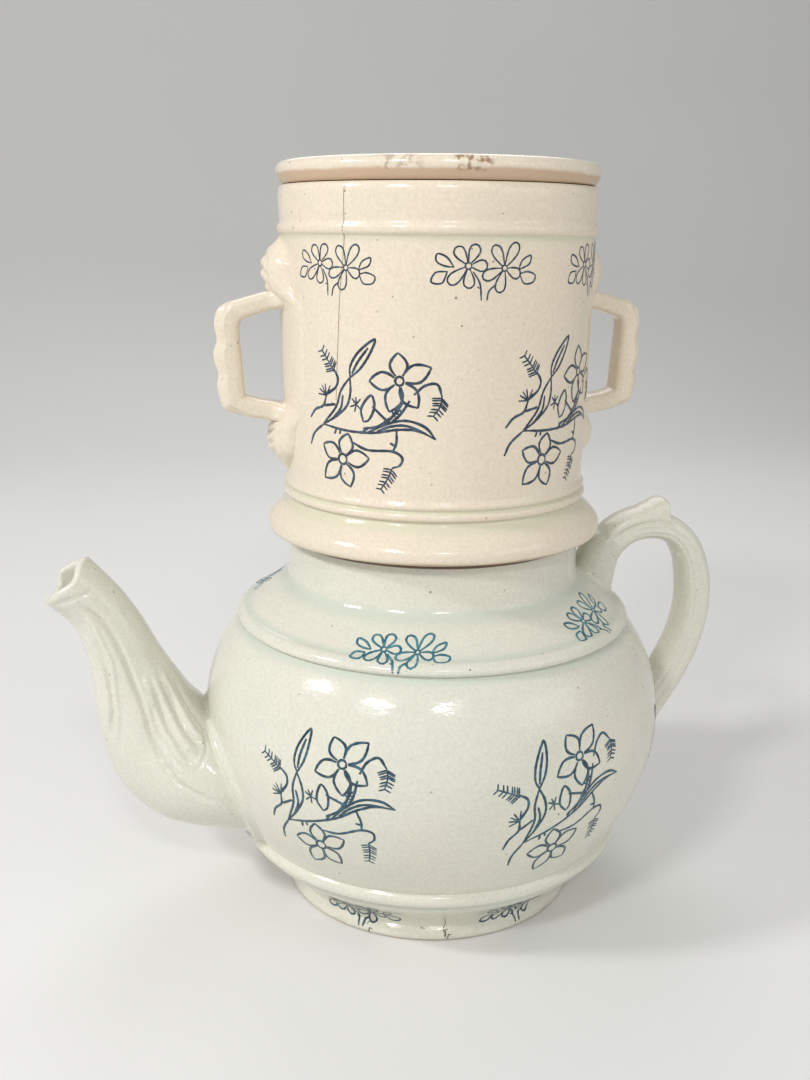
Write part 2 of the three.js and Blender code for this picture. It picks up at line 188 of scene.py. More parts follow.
def most(tree, first, *others):
    for other in others:
        first = maths(tree, "MAXIMUM", first, other)
    return first


def noise(tree, place, scale, detail=2.0):
    feeds = {"Vector": place, "Scale": scale, "Detail": detail}
    return put(tree, "ShaderNodeTexNoise", feeds).outputs["Fac"]


def patchy(tree, place, scale, detail, low, high, to_low=0.0, to_high=1.0):
    """Soft patches: to_low where the noise is below low, to_high where it is above high."""
    return between(tree, noise(tree, place, scale, detail), low, high, to_low, to_high)


def new_group(name, sockets_in, sockets_out):
    group = bpy.data.node_groups.new(name, "ShaderNodeTree")
    for socket, kind in sockets_in:
        group.interface.new_socket(socket, in_out="INPUT", socket_type=kind)
    for socket, kind in sockets_out:
        group.interface.new_socket(socket, in_out="OUTPUT", socket_type=kind)
    return group, group.nodes.new("NodeGroupInput").outputs, group.nodes.new("NodeGroupOutput").inputs


COLOUR, NUMBER, VECTOR = "NodeSocketColor", "NodeSocketFloat", "NodeSocketVector"
CLOUD_SCALE, GRAIN_SCALE, SPECK_SCALE, SHEEN_SCALE, RIPPLE_SCALE = 19.0, 900.0, 330.0, 70.0, 190.0
SPECK_SMALL, SPECK_LARGE = 0.05, 0.17
SMOOTHEST, DULLEST = 0.12, 0.2
RIPPLE_SQUASH = (1, 1, 2.4)
RIPPLE_DEPTH = 0.5 * MM
GLAZE_IOR = 1.38
fired, given, gives = new_group(
    "Fired glaze",
    [("Place", VECTOR), ("Glaze", COLOUR), ("Cloud", COLOUR), ("Speck", COLOUR), ("Specks", NUMBER)],
    [("Color", COLOUR), ("Roughness", NUMBER), ("Height", NUMBER)],
)
drift = patchy(fired, given["Place"], CLOUD_SCALE, 3.0, 0.38, 0.66)
clouded = mixed(fired, drift, given["Glaze"], given["Cloud"])
grain = patchy(fired, given["Place"], GRAIN_SCALE, 2.0, 0.25, 0.75, 0.93, 1.03)
grain_grey = put(fired, "ShaderNodeCombineColor", {0: grain, 1: grain, 2: grain}).outputs[0]
grained = mixed(fired, 1.0, clouded, grain_grey, "MULTIPLY")
cells = put(fired, "ShaderNodeTexVoronoi", {"Vector": given["Place"], "Scale": SPECK_SCALE})
cell = put(fired, "ShaderNodeSeparateColor", {"Color": cells.outputs["Color"]}).outputs
speck_size = between(fired, cell[0], 0.0, 1.0, SPECK_SMALL, SPECK_LARGE)
speck_edge = maths(fired, "SUBTRACT", speck_size, cells.outputs["Distance"])
speck_here = maths(fired, "GREATER_THAN", given["Specks"], cell[1])
speck = times(fired, between(fired, speck_edge, 0.0, 0.05), speck_here)
speck_tone = times(fired, speck, between(fired, cell[2], 0.0, 1.0, 0.12, 0.75))
fired.links.new(mixed(fired, speck_tone, grained, given["Speck"]), gives["Color"])
sheen = patchy(fired, given["Place"], SHEEN_SCALE, 4.0, 0.3, 0.75, SMOOTHEST, DULLEST)
fired.links.new(sheen, gives["Roughness"])
feeds = {0: given["Place"], 1: RIPPLE_SQUASH}
flowed = put(fired, "ShaderNodeVectorMath", feeds, operation="MULTIPLY").outputs[0]
ripples = noise(fired, flowed, RIPPLE_SCALE, 3.0)
fired.links.new(maths(fired, "MULTIPLY_ADD", speck, -0.2, ripples), gives["Height"])


def new_paint(name):
    """A new material, with its tree, its Object place and its shader."""
    material = bpy.data.materials.new(name)
    material.use_nodes = True
    tree = material.node_tree
    place = put(tree, "ShaderNodeTexCoord").outputs["Object"]
    return material, tree, place, tree.nodes["Principled BSDF"]


def glazed(name, glaze, cloud, speck, specks, ripple=0.3):
    """Clear glaze over earthenware. Gives the material, its tree, Object place, colour and shader."""
    material, tree, place, shader = new_paint(name)
    body = put(tree, "ShaderNodeGroup", node_tree=fired)
    tree.links.new(place, body.inputs["Place"])
    for socket, value in (("Glaze", glaze), ("Cloud", cloud), ("Speck", speck)):
        body.inputs[socket].default_value = (*value, 1)
    body.inputs["Specks"].default_value = specks
    shader.inputs["IOR"].default_value = GLAZE_IOR
    tree.links.new(body.outputs["Roughness"], shader.inputs["Roughness"])
    feeds = {"Height": body.outputs["Height"], "Strength": ripple, "Distance": RIPPLE_DEPTH}
    tree.links.new(put(tree, "ShaderNodeBump", feeds).outputs[0], shader.inputs["Normal"])
    tree.links.new(body.outputs["Color"], shader.inputs["Base Color"])
    return material, tree, place, body.outputs["Color"], shader


def round_axis(tree, place):
    """Height, distance from the Z axis, and the three axes of a place."""
    axes = put(tree, "ShaderNodeSeparateXYZ", {"Vector": place}).outputs
    flat = put(tree, "ShaderNodeCombineXYZ", {"X": axes[0], "Y": axes[1]}).outputs[0]
    radius = put(tree, "ShaderNodeVectorMath", {0: flat}, operation="LENGTH").outputs["Value"]
    return axes[2], radius, axes


def band(tree, value, low, rise, fall, high):
    """A mask that rises from low to rise and falls from fall to high."""
    up = between(tree, value, low, rise)
    return times(tree, up, between(tree, value, fall, high, 1.0, 0.0))


POT_WHITE = (0.735, 0.712, 0.612)
POT_CLOUD = (0.70, 0.702, 0.60)
GLAZE_POOL = (0.53, 0.60, 0.51, 1)
SPECK_BROWN = (0.12, 0.09, 0.06)
POT_SPECKS = 0.2
BISCUIT = (0.55, 0.42, 0.29, 1)
FOOT_STAIN = (0.30, 0.21, 0.13, 1)
RIM_SHADOW_PAINT = (0.16, 0.11, 0.09, 1)
pot_glaze, tree, place, glaze_colour, shader = glazed(
    "Pot glaze", POT_WHITE, POT_CLOUD, SPECK_BROWN, POT_SPECKS
)
height, radius, axes = round_axis(tree, place)
# Masks by height and radius, in metres: where glaze gathers, stains, a painted shadow line and bare clay
POOL_DEPTH = 0.6
under_ridge = band(tree, height, 0.1085, 0.1118, 0.1119, 0.1128)
under_bead = band(tree, height, 0.0215, 0.0238, 0.0239, 0.0248)
neck_foot = band(tree, height, 0.1235, 0.1275, 0.1275, 0.131)
over_ridge = times(tree, band(tree, height, 0.1164, 0.117, 0.1172, 0.1186), 0.7)
pools = most(tree, under_ridge, under_bead, neck_foot, over_ridge)
pooled = mixed(tree, times(tree, pools, POOL_DEPTH), glaze_colour, GLAZE_POOL)
stain_spread = patchy(tree, place, 60.0, 5.0, 0.55, 0.8)
stain_low = times(tree, between(tree, height, 0.0015, 0.0055, 0.5, 0.0), stain_spread)
body_colour = mixed(tree, stain_low, pooled, FOOT_STAIN)
# Painted shadow: a dark line on the outside of the neck's top, where the filter's flange overhangs it. The
# same wavy height bounds the bare rim above it.
rim_wear_and_shadow_height = maths(tree, "ADD", height, times(tree, noise(tree, place, 30.0), 0.0008))
on_outside = between(tree, radius, 0.0546, 0.0552)
painted_rim_shadow = times(tree, band(tree, rim_wear_and_shadow_height, 0.1445, 0.145, 0.1463, 0.1468), on_outside)
body_colour = mixed(tree, painted_rim_shadow, body_colour, RIM_SHADOW_PAINT)
body_colour = mixed(tree, between(tree, rim_wear_and_shadow_height, 0.1466, 0.147, 0.0, 0.7), body_colour, BISCUIT)
on_ring = between(tree, radius, 0.05, 0.0505)
bare_foot = times(tree, between(tree, height, 0.0003, 0.0008, 1.0, 0.0), on_ring)
tree.links.new(mixed(tree, bare_foot, body_colour, BISCUIT), shader.inputs["Base Color"])

pot_section = pot_underside[:-1] + pot_outside[:-1] + pot_inside
pot_body = turned("pot_body_turned", outline(pot_section), POT_TURNS)
bpy.ops.object.select_all(action="DESELECT")
bpy.ops.mesh.primitive_cylinder_add(
    vertices=40, radius=POUR_HOLE_RADIUS * MM, depth=POUR_HOLE_DEPTH * MM,
    location=(POUR_HOLE_X * MM, 0, POUR_HOLE_Z * MM), rotation=(0, math.pi / 2, 0),
)
cut_away(pot_body, bpy.context.object, sharp_from=50)
pot_body.data.materials.append(pot_glaze)
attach(pot_body, "pot")
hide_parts("pot_foot", "pot_belly_lower", "pot_belly_upper", "pot_neck")

# Pot spout
# Pressed in a mould with curved flutes and a leaf edge, hollow, and joined to the belly with slip,
# which leaves a soft band all round the root. The mouth is cut back above a pointed lip.

SPOUT_SIDES = 216
SPOUT_WALL = 3.6
SPOUT_SQUARENESS = 2.2
# Stations as places (x, z) on the lower and the upper edge, and a width, in mm
spout_stations = [
    ((-66, 27), (-70, 66.5), 68), ((-86, 29.6), (-86.2, 73.6), 67), ((-108.8, 35.3), (-93.4, 81.2), 57),
    ((-123.8, 50.3), (-99.6, 91.2), 41), ((-130.4, 74), (-106, 102), 31),
    ((-132.6, 97), (-112.4, 114.5), 25), ((-137.4, 112.7), (-119.6, 125.7), 22.5),
    ((-148, 123), (-131.4, 139.2), 24),
]
spout_steps = [14, 30, 34, 34, 30, 20, 22]
MOUTH_RUN = Vector((-0.697, 0, 0.718))
MOUTH_FADE = 26
# How far the cut rim stands out along the run, by turn from the lip: far side, then near side
mouth_rim = [
    (0, -1.6), (8, -2.5), (22, -3), (42, -2.8), (58, -2), (70, -0.4), (80, 0.8), (90, 0.7), (104, 0),
    (120, -0.8), (140, -1.9), (160, -1.9), (172, -1.2), (185, -0.4), (200, 0.1), (214, -0.2),
    (228, -1.2), (242, -2.2), (256, -2.5), (270, -2), (285, -1.4), (300, -1.2), (320, -1.4),
    (340, -1.8), (352, -2.1), (360, -1.6),
]
LIP_PINCH, PINCH_ENDS = 0.5, 60
LIP_ROUND, LIP_STEPS = 1.4, 6
# Moulded lines as (station, turn), with turn 180 at the top edge and 270 on the near side
leaf_edge = [
    (6.75, 280), (6.3, 274), (5.85, 268), (5.35, 264), (4.95, 263), (4.3, 259), (3.7, 258), (3.15, 263),
    (2.75, 266), (2.45, 268), (2, 270), (1.6, 270), (1.25, 270), (0.95, 268),
]
flutes = [
    [(4.4, 252), (3.9, 252), (3.4, 255), (3, 257), (2.55, 260), (2.25, 262), (1.95, 263)],
    [(4.2, 240), (3.7, 243), (3.1, 248), (2.6, 250), (2.15, 252), (1.78, 253)],
    [(4, 228), (3.45, 232), (2.75, 236), (2.3, 238), (1.9, 238), (1.6, 237)],
    [(3.8, 212), (2.95, 218), (2.3, 219), (1.85, 221), (1.35, 219)],
]
side_flutes = [
    [(6.2, 286), (5.8, 282), (5.3, 282), (4.9, 280), (4.35, 284), (3.85, 292), (3.5, 310)],
    [(5.9, 312), (5.2, 306), (4.85, 302), (4.45, 299), (4.1, 304), (3.8, 320)],
]
hollows = [
    [(3.5, 247), (3.1, 253), (2.7, 256), (2.3, 258), (1.95, 258), (1.7, 258)],
    [(3.7, 234), (3, 242), (2.5, 243), (2, 244), (1.5, 243)],
    [(3.55, 221), (2.6, 226), (2.1, 228), (1.45, 228)],
    [(3.2, 203), (2.2, 205), (1.65, 207), (1.35, 210)],
    [(5.6, 296), (4.9, 290), (4.4, 290), (4, 298), (3.7, 316)],
]
leaf_end = [(1.66, 204), (1.52, 217), (1.42, 226), (1.5, 237), (1.6, 247), (1.72, 257)]
rim_crease = [(6.84, 306), (6.82, 288), (6.74, 270), (6.66, 252), (6.56, 236)]
# The root is widest near its top, and the roll of slip round it stands wide and proud of the belly
ROOT_EGG = 0.11
EGG_FADE = (40, 90)
SLIP_ROLL = (4.8, 2.1)
BORE_SUNK, BORE_STEPS = 1.6, 40
# Where the roll sets in beside the top of a joint and where it weakens below, in degrees from the top
ROLL_STARTS, ROLL_WEAKENS, ROLL_LOST = (6, 34), (140, 178), 0.6
JOINT_SUNK = 0.15
LINE_STEPS, LINE_FADE = 24, 0.18


def along(table, at):
    """Reads a table of (place, value) pairs, sorted by place, with straight steps between them."""
    after = min(max(bisect_right(table, at, key=lambda pair: pair[0]), 1), len(table) - 1)
    (low, first), (high, second) = table[after - 1], table[after]
    share = min(max((at - low) / max(high - low, 1e-9), 0.0), 1.0)
    return first + (second - first) * share


def evenly(points, steps):
    """A smooth table through the points, with so many steps between each two, for along to read."""
    return [(p.x, p.y) for p in through(points, [steps] * (len(points) - 1))]


def eased(value, low, high):
    share = min(max((value - low) / (high - low), 0.0), 1.0)
    return share * share * (3 - 2 * share)


def member(stations, counts):
    """Middle, reach and half width of each ring of a tapering member that lies in the XZ plane."""
    outer = through([s[0] for s in stations], counts)
    inner = through([s[1] for s in stations], counts)
    width = through([(i * 10.0, s[2]) for i, s in enumerate(stations)], counts)
    return [((o + i) / 2, (o - i) / 2, w.y / 2) for o, i, w in zip(outer, inner, width)]


def ring_of(middle, reach, half_width, squareness, sides):
    ring = []
    for k in range(sides):
        a = math.tau * k / sides
        c, s = math.cos(a), math.sin(a)
        c, s = (math.copysign(abs(v) ** (2 / squareness), v) for v in (c, s))
        ring.append(Vector((middle.x + reach.x * c, half_width * s, middle.y + reach.y * c)))
    return ring


def pulled(name, rings, hollow=False):
    """Pulls a straight tube of clay ring by ring, then brings each ring to its place, in mm."""
    sides = len(rings[0])
    bpy.ops.object.select_all(action="DESELECT")
    bpy.ops.mesh.primitive_circle_add(vertices=sides, radius=1, location=(0, 0, 0))
    piece = bpy.context.object
    piece.name = name
    bpy.ops.object.mode_set(mode="EDIT")
    bpy.ops.mesh.select_all(action="SELECT")
    for _ in rings[1:]:
        bpy.ops.mesh.extrude_edges_move(TRANSFORM_OT_translate={"value": (0, 0, 1)})
    bpy.ops.mesh.select_all(action="DESELECT")
    bpy.ops.mesh.select_non_manifold(extend=False)
    if hollow:
        bpy.ops.mesh.bridge_edge_loops()
    else:
        bpy.ops.mesh.edge_face_add()
    bpy.ops.object.mode_set(mode="OBJECT")
    for vertex in piece.data.vertices:
        side = round(math.atan2(vertex.co.y, vertex.co.x) / math.tau * sides) % sides
        vertex.co = rings[round(vertex.co.z)][side] * MM
    return faced_out(piece)


def skin_of(points):
    """The outside of a turned piece as (height, radius) pairs."""
    return [(p.y, p.x) for p in outline(points)]


def over(skin, point):
    """How far a point stands out from a turned skin, measured from the axis."""
    return math.hypot(point.x, point.y) - along(skin, point.z)


def facing(skin, point):
    """The way a turned skin faces at the height and bearing of a point."""
    slope = along(skin, point.z + 0.5) - along(skin, point.z - 0.5)
    out = Vector((point.x, point.y, 0)).normalized()
    return Vector((out.x, out.y, -slope)).normalized()


def onto(skin, point, lift):
    """Moves a point straight out from the axis until it stands lift mm over the skin."""
    out = Vector((point.x, point.y, 0)).normalized() * (along(skin, point.z) + lift)
    return Vector((out.x, out.y, point.z))


def from_skin(rings, skin, depth, keep):
    """The lines of a member up to ring keep, each from the place where it leaves the skin."""
    lines = []
    for side in zip(*rings[:keep + 1]):
        gaps = [over(skin, point) + depth for point in side]
        last = max(n for n, gap in enumerate(gaps[:-1]) if gap < 0)
        share = gaps[last] / (gaps[last] - gaps[last + 1])
        line = [side[last].lerp(side[last + 1], share), *side[last + 1:]]
        lengths = [0.0]
        for a, b in zip(line, line[1:]):
            lengths.append(lengths[-1] + (b - a).length)
        lines.append(list(zip(lengths, line)))
    return lines


def rooted(rings, skin, reach, spread, keep, runs, curve=10, sunk=1.4, roll=(0, 0)):
    """Joins the first ring of a member to a turned skin with a hollow curve, as slip leaves it.

    Reach is how far up the member the curve ends, and spread how far out its foot lies. The roll
    adds width and height to the curve all round, but for the top of the joint.
    """
    lines = from_skin(rings, skin, 0, keep)
    middle = sum((line[0][1] for line in lines), Vector((0, 0, 0))) / len(lines)
    made = []
    for side, line in enumerate(lines):
        below_top = abs(side / len(lines) - 0.5) * 360
        full = eased(below_top, *ROLL_STARTS) * (1 - ROLL_LOST * eased(below_top, *ROLL_WEAKENS))
        foot = line[0][1]
        normal = facing(skin, foot)
        away = foot - middle
        away = (away - normal * away.dot(normal)).normalized()
        edge = onto(skin, foot + away * (spread + roll[0] * full), -JOINT_SUNK)
        proud = roll[1] * full
        end = line[-1][0]
        start = min(reach, end * 0.6)
        rest = [along(line, start + (end - start) * n / runs) for n in range(runs + 1)]
        shares = [n / curve for n in range(curve)]
        hollow = [edge.lerp(foot, t).lerp(foot.lerp(rest[0], t), t) for t in shares]
        raised = [proud * math.sin(math.pi * t) ** (1 + t) for t in shares]
        ways = [facing(skin, edge).lerp(away, t).normalized() for t in shares]
        hollow = [at + way * lift for at, way, lift in zip(hollow, ways, raised)]
        made.append([edge - facing(skin, edge) * sunk, *hollow, *rest])
    return [list(ring) for ring in zip(*made)] + rings[keep + 1:]


def mould_line(rings, steps, path):
    """Places of a moulded line on the rings, and how strongly it stands there (0 at its ends)."""
    starts = [0]
    for count in steps:
        starts.append(starts[-1] + count)
    sides = len(rings[0])
    gaps = [Vector(b) - Vector(a) for a, b in zip(path, path[1:])]
    counts = [max(4, round(abs(gap.x) * LINE_STEPS + abs(gap.y) / 4)) for gap in gaps]
    points = []
    for station, turn in through(path, counts):
        ring = along(list(enumerate(starts)), station)
        side = turn / 360 * sides
        low = min(int(ring), len(rings) - 2)
        near, next_side = int(side) % sides, (int(side) + 1) % sides
        first = rings[low][near].lerp(rings[low][next_side], side % 1)
        second = rings[low + 1][near].lerp(rings[low + 1][next_side], side % 1)
        points.append(first.lerp(second, ring - low))
    last = len(points) - 1
    return [(p, eased(min(n, last - n) / last, 0.0, LINE_FADE)) for n, p in enumerate(points)]


def moulded(rings, lines):
    """Raises lines of (places, half width, height) on the -Y half of the rings and on its mirror."""
    sides = len(rings[0])
    trees = []
    for places, half_width, height in lines:
        tree = KDTree(len(places))
        for n, (point, _) in enumerate(places):
            tree.insert(point, n)
        tree.balance()
        trees.append((tree, places, half_width, height))
    result = []
    for n, ring in enumerate(rings):
        before, after = rings[max(n - 1, 0)], rings[min(n + 1, len(rings) - 1)]
        middle = sum(ring, Vector((0, 0, 0))) / sides
        new_ring = [point.copy() for point in ring]
        for k in range(sides // 2, sides + 1):
            point = ring[k % sides]
            normal = (ring[(k + 1) % sides] - ring[k - 1]).cross(after[k % sides] - before[k % sides])
            normal.normalize()
            if normal.dot(point - middle) < 0:
                normal.negate()
            lift = 0.0
            for tree, places, half_width, height in trees:
                index, distance = tree.find(point)[1:]
                if distance < half_width:
                    bump = 0.5 + 0.5 * math.cos(math.pi * distance / half_width)
                    lift += height * places[index][1] * bump
            moved = point + normal * lift
            new_ring[k % sides] = moved
            new_ring[(sides - k) % sides] = Vector((moved.x, -moved.y, moved.z))
        result.append(new_ring)
    return result


def to_mouth(rings):
    """Carries the last rings of the spout out to the cut rim, more strongly nearer the mouth."""
    for n, ring in enumerate(rings):
        near = eased(n, len(rings) - 1 - MOUTH_FADE, len(rings) - 1)
        for k, point in enumerate(ring):
            turn = 360 * k / SPOUT_SIDES
            point.y *= 1 - LIP_PINCH * near * (1 - eased(min(turn, 360 - turn), 0, PINCH_ENDS))
            point += MOUTH_RUN * (along(mouth_curve, turn) * near)


mouth_curve = evenly(mouth_rim, 5)
pot_skin = skin_of(pot_outside)
spout_members = member(spout_stations, spout_steps)
spout_rings = [ring_of(m, r, w, SPOUT_SQUARENESS, SPOUT_SIDES) for m, r, w in spout_members]
inside_rings = [
    ring_of(m, r * (1 - SPOUT_WALL / r.length), w - SPOUT_WALL, SPOUT_SQUARENESS, SPOUT_SIDES)
    for m, r, w in spout_members
]
for rings in (spout_rings, inside_rings):
    for n, ring in enumerate(rings):
        egg = ROOT_EGG * (1 - eased(n, *EGG_FADE))
        for k, point in enumerate(ring):
            point.y *= 1 - egg * math.cos(math.tau * k / SPOUT_SIDES)
# Groups of moulded lines, with their half width and height in mm
relief = [
    ([leaf_edge], 1.8, -1.7), (flutes, 2.4, 1.0), (side_flutes, 1.8, 0.7), (hollows, 2, -0.7),
    ([leaf_end], 1.1, -0.45), ([rim_crease], 1.7, -0.6),
]
mould_lines = []
for paths, half_width, height in relief:
    mould_lines += [(mould_line(spout_rings, spout_steps, path), half_width, height) for path in paths]
spout_rings = moulded(spout_rings, mould_lines)
to_mouth(spout_rings)
to_mouth(inside_rings)
lip_rings = []
for step in range(1, LIP_STEPS):
    turn = math.pi * step / LIP_STEPS
    share = (1 - math.cos(turn)) / 2
    out = MOUTH_RUN * (LIP_ROUND * math.sin(turn))
    lip_rings.append([a.lerp(b, share) + out for a, b in zip(spout_rings[-1], inside_rings[-1])])
SPOUT_FREE = sum(spout_steps[:4])
outer_rings = rooted(
    spout_rings, pot_skin, reach=3.4, spread=1.1, keep=SPOUT_FREE, runs=92, curve=16, roll=SLIP_ROLL
)
bore_lines = from_skin(inside_rings, pot_skin, BORE_SUNK, SPOUT_FREE)
bore_root = [
    [along(line, line[-1][0] * n / BORE_STEPS) for line in bore_lines] for n in range(BORE_STEPS + 1)
]
bore_rings = bore_root[::2] + inside_rings[SPOUT_FREE + 2:-1:3] + inside_rings[-1:]
pot_spout = pulled("pot_spout_moulded", outer_rings + lip_rings + bore_rings[::-1], hollow=True)
fitting_glaze = glazed("Spout and handle glaze", POT_WHITE, POT_CLOUD, SPECK_BROWN, POT_SPECKS)[0]
pot_spout.data.materials.append(fitting_glaze)
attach(pot_spout, "pot")
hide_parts("pot_spout_root", "pot_spout")

# Pot handle and thumb rest
# An ear-shaped strap of clay, pressed round over the edges and joined with slip at the shoulder
# and low on the belly. Its top is drawn up into a small tongue for the thumb.

handle_stations = [
    ((57, 111.4), (71, 105.4), 20), ((58.8, 128), (74.4, 122.2), 18.5), ((63.6, 137.6), (76.4, 130.8), 17.5),
    ((73.4, 144.2), (81.8, 136.2), 17), ((85.8, 148.2), (89.4, 137.6), 17),
    ((99.4, 146.2), (96.8, 135.4), 17), ((109.6, 137.8), (101.2, 129.2), 17),
    ((115.4, 124), (103.2, 119.8), 17.5),
    ((116.8, 109), (103.7, 109), 17.5), ((113.8, 92), (101.1, 96.7), 17), ((107.5, 77), (96, 85.6), 16.5),
    ((99.5, 63.2), (89.2, 74.4), 15.5), ((90.5, 48.2), (80.2, 61.8), 14), ((74, 29.5), (66, 44), 12),
]
handle_steps = [8, 8, 10, 12, 26, 14, 16, 12, 12, 8, 8, 8, 10]
HANDLE_SIDES, HANDLE_SQUARENESS = 96, 2.5
# How far the tongue stands over the upper part of the strap, along X
tongue = [
    (68, 0), (72.7, 1.4), (76.8, 1.9), (85, 2.2), (89.4, 3.8), (92.4, 5.8), (93.8, 6.4), (94.9, 6),
    (95.6, 3.4), (96.2, 0.9), (97.2, 0),
]
TONGUE_STARTS, TONGUE_ENDS, HANDLE_TOP = (66, 74), (96, 99), 120
TONGUE_CROWN = (0.38, 0.66)
# Lines along the sides of the strap as (level, depth), with level -1 at its inner face and 1 outside
TONGUE_FOOT = (0.36, 1.6)
STRAP_LINES = [(-0.32, 0.4), (0.02, 0.5), (0.66, 0.3)]
STRAP_LINES_START = (74, 86)
STRAP_FACE = (2, 6)
LINE_WIDTH = 0.075
# Drops of glaze that ran down the inner side, as a place and a height
drops = [(Vector((100.4, -4.6, 130.4)), 1.2), (Vector((103.8, -7, 110.4)), 0.7)]
DROP_RADIUS = 1.9


def pressed_in(level, lines):
    return sum(depth * math.exp(-((level - at) / LINE_WIDTH) ** 2) for at, depth in lines)


def joined(rings, skin, reach, spread, upper, lower):
    """Joins both ends of a strap to a turned skin. Upper and lower give the keep and runs of each."""
    half = len(rings) // 2
    upper_end = rooted(rings[:half + 1], skin, reach, spread, *upper)
    lower_end = rooted(rings[half:][::-1], skin, reach, spread, *lower)
    return upper_end + lower_end[::-1][1:]


handle_rings = []
for middle, reach, half_width in member(handle_stations, handle_steps):
    ring = ring_of(middle, reach, half_width, HANDLE_SQUARENESS, HANDLE_SIDES)
    top = middle + reach
    core = Vector((middle.x, 0, middle.y))
    above = top.y > HANDLE_TOP
    past_root = eased(top.x, *STRAP_LINES_START)
    under_tongue = eased(top.x, *TONGUE_STARTS) * (1 - eased(top.x, *TONGUE_ENDS)) * above
    for k, point in enumerate(ring):
        level = math.cos(math.tau * k / HANDLE_SIDES)
        inward = pressed_in(level, STRAP_LINES) * past_root
        inward += pressed_in(level, [TONGUE_FOOT]) * under_tongue
        point.y -= math.copysign(inward, point.y) * eased(abs(point.y), *STRAP_FACE)
        if above:
            crown = eased(level, *TONGUE_CROWN)
            point += Vector((reach.x, 0, reach.y)).normalized() * (along(tongue, top.x) * crown)
        for place, size in drops:
            near = 1 - eased((point - place).length, 0, DROP_RADIUS)
            point += (point - core).normalized() * (size * near)
    handle_rings.append(ring)
handle_rings = joined(handle_rings, pot_skin, reach=4, spread=2.5, upper=(24, 20), lower=(34, 34))
pot_handle = pulled("pot_handle_strap", handle_rings)
pot_handle.data.materials.append(fitting_glaze)
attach(pot_handle, "pot")
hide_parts("pot_handle", "pot_thumb_rest")

# Filter vessel
# A straight cylinder turned in cream earthenware under a warmer glaze, on a flange that stands on
# the pot's neck. Beads are turned above the flange and below the rim, and a spigot hangs below.

flange_outside = [
    (50.3, 147.2), (56, 147.2), (62.2, 147.25), (63.1, 147.9), (63.5, 149.2), (63.5, 150.6),
    (63, 152.2), (61.9, 153.7), (59.6, 156), (57.6, 158.2), (56.5, 159.8), (56.1, 160.7), (56.4, 161.1),
    (57.1, 161.4), (57.5, 162.1), (57.5, 163), (57.1, 163.8), (56.4, 164.2), (56.1, 164.6),
]
wall_outside = [
    (56.1, 164.6), (56.3, 165), (56.8, 165.4), (57, 166.2), (56.8, 166.9), (56.3, 167.5), (56.1, 168.4),
    (56.3, 178), (56.8, 200), (57.1, 230), (57.2, 253.6), (57.2, 254.9), (57.5, 255.5), (58.2, 256),
    (58.5, 257.1), (58.3, 258.3), (57.7, 259.3), (57.5, 260.2), (57.7, 261.6), (57.8, 264),
    (57.8, 269.6), (57.5, 271.3), (56.8, 272.1),
]
vessel_inside = [
    (55.8, 272.2), (54.6, 272.1), (54.1, 271.5), (54, 270.4), (54, 262), (54, 258.2), (53.8, 258),
    (52.6, 258), (52.4, 257.8), (52.4, 240), (52.4, 200), (52.4, 160), (51.9, 156.6), (50, 153),
    (47.2, 150.4), (46.2, 148.4), (46, 146), (46, 134), (45.8, 133), (44, 133), (42.6, 133),
    (42.4, 132.6), (42.4, 131),
]
spigot_outside = [(42.4, 130), (45.6, 130), (49, 130), (50, 131), (50, 138), (50, 146.4)]
vessel_section = spigot_outside + flange_outside + wall_outside[1:] + vessel_inside
VESSEL_IVORY = (0.80, 0.70, 0.565)
VESSEL_CLOUD = (0.77, 0.69, 0.555)
VESSEL_POOL = (0.62, 0.62, 0.45, 1)
VESSEL_SPECKS = 0.3
VESSEL_TURNS = 144
vessel_glaze, tree, place, glaze_colour, shader = glazed(
    "Filter glaze", VESSEL_IVORY, VESSEL_CLOUD, SPECK_BROWN, VESSEL_SPECKS
)
height, radius, axes = round_axis(tree, place)
above_flange = band(tree, height, 0.1555, 0.1595, 0.1605, 0.1613)
between_beads = band(tree, height, 0.1636, 0.1642, 0.165, 0.1656)
under_rim_bead = band(tree, height, 0.2525, 0.2552, 0.2552, 0.2562)
gathers = most(tree, above_flange, between_beads, under_rim_bead)
on_outside = between(tree, radius, 0.0545, 0.0555)
gathered = times(tree, times(tree, gathers, 0.65), on_outside)
flange_pooled = mixed(tree, gathered, glaze_colour, VESSEL_POOL)
edge_wave = maths(tree, "MULTIPLY_ADD", noise(tree, place, 45.0), 0.0016, 0.1472)
under_flange = maths(tree, "SUBTRACT", edge_wave, height)
bare_seat = between(tree, under_flange, -0.0003, 0.0003)
tree.links.new(mixed(tree, bare_seat, flange_pooled, BISCUIT), shader.inputs["Base Color"])
filter_vessel = turned("filter_vessel_turned", outline(vessel_section), VESSEL_TURNS, closed=True)
filter_vessel.data.materials.append(vessel_glaze)
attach(filter_vessel, "filter")
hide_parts("filter_vessel", "filter_flange")

# Filter strainer
# A turned plate with ring after ring of small holes, luted on a ledge in the spigot under the
# coffee grounds.

INNER_CREAM = (0.74, 0.685, 0.56)
INNER_CLOUD = (0.71, 0.665, 0.545)
PIN_LENGTH = 12
inner_glaze = glazed("Inner glaze", INNER_CREAM, INNER_CLOUD, SPECK_BROWN, POT_SPECKS)[0]


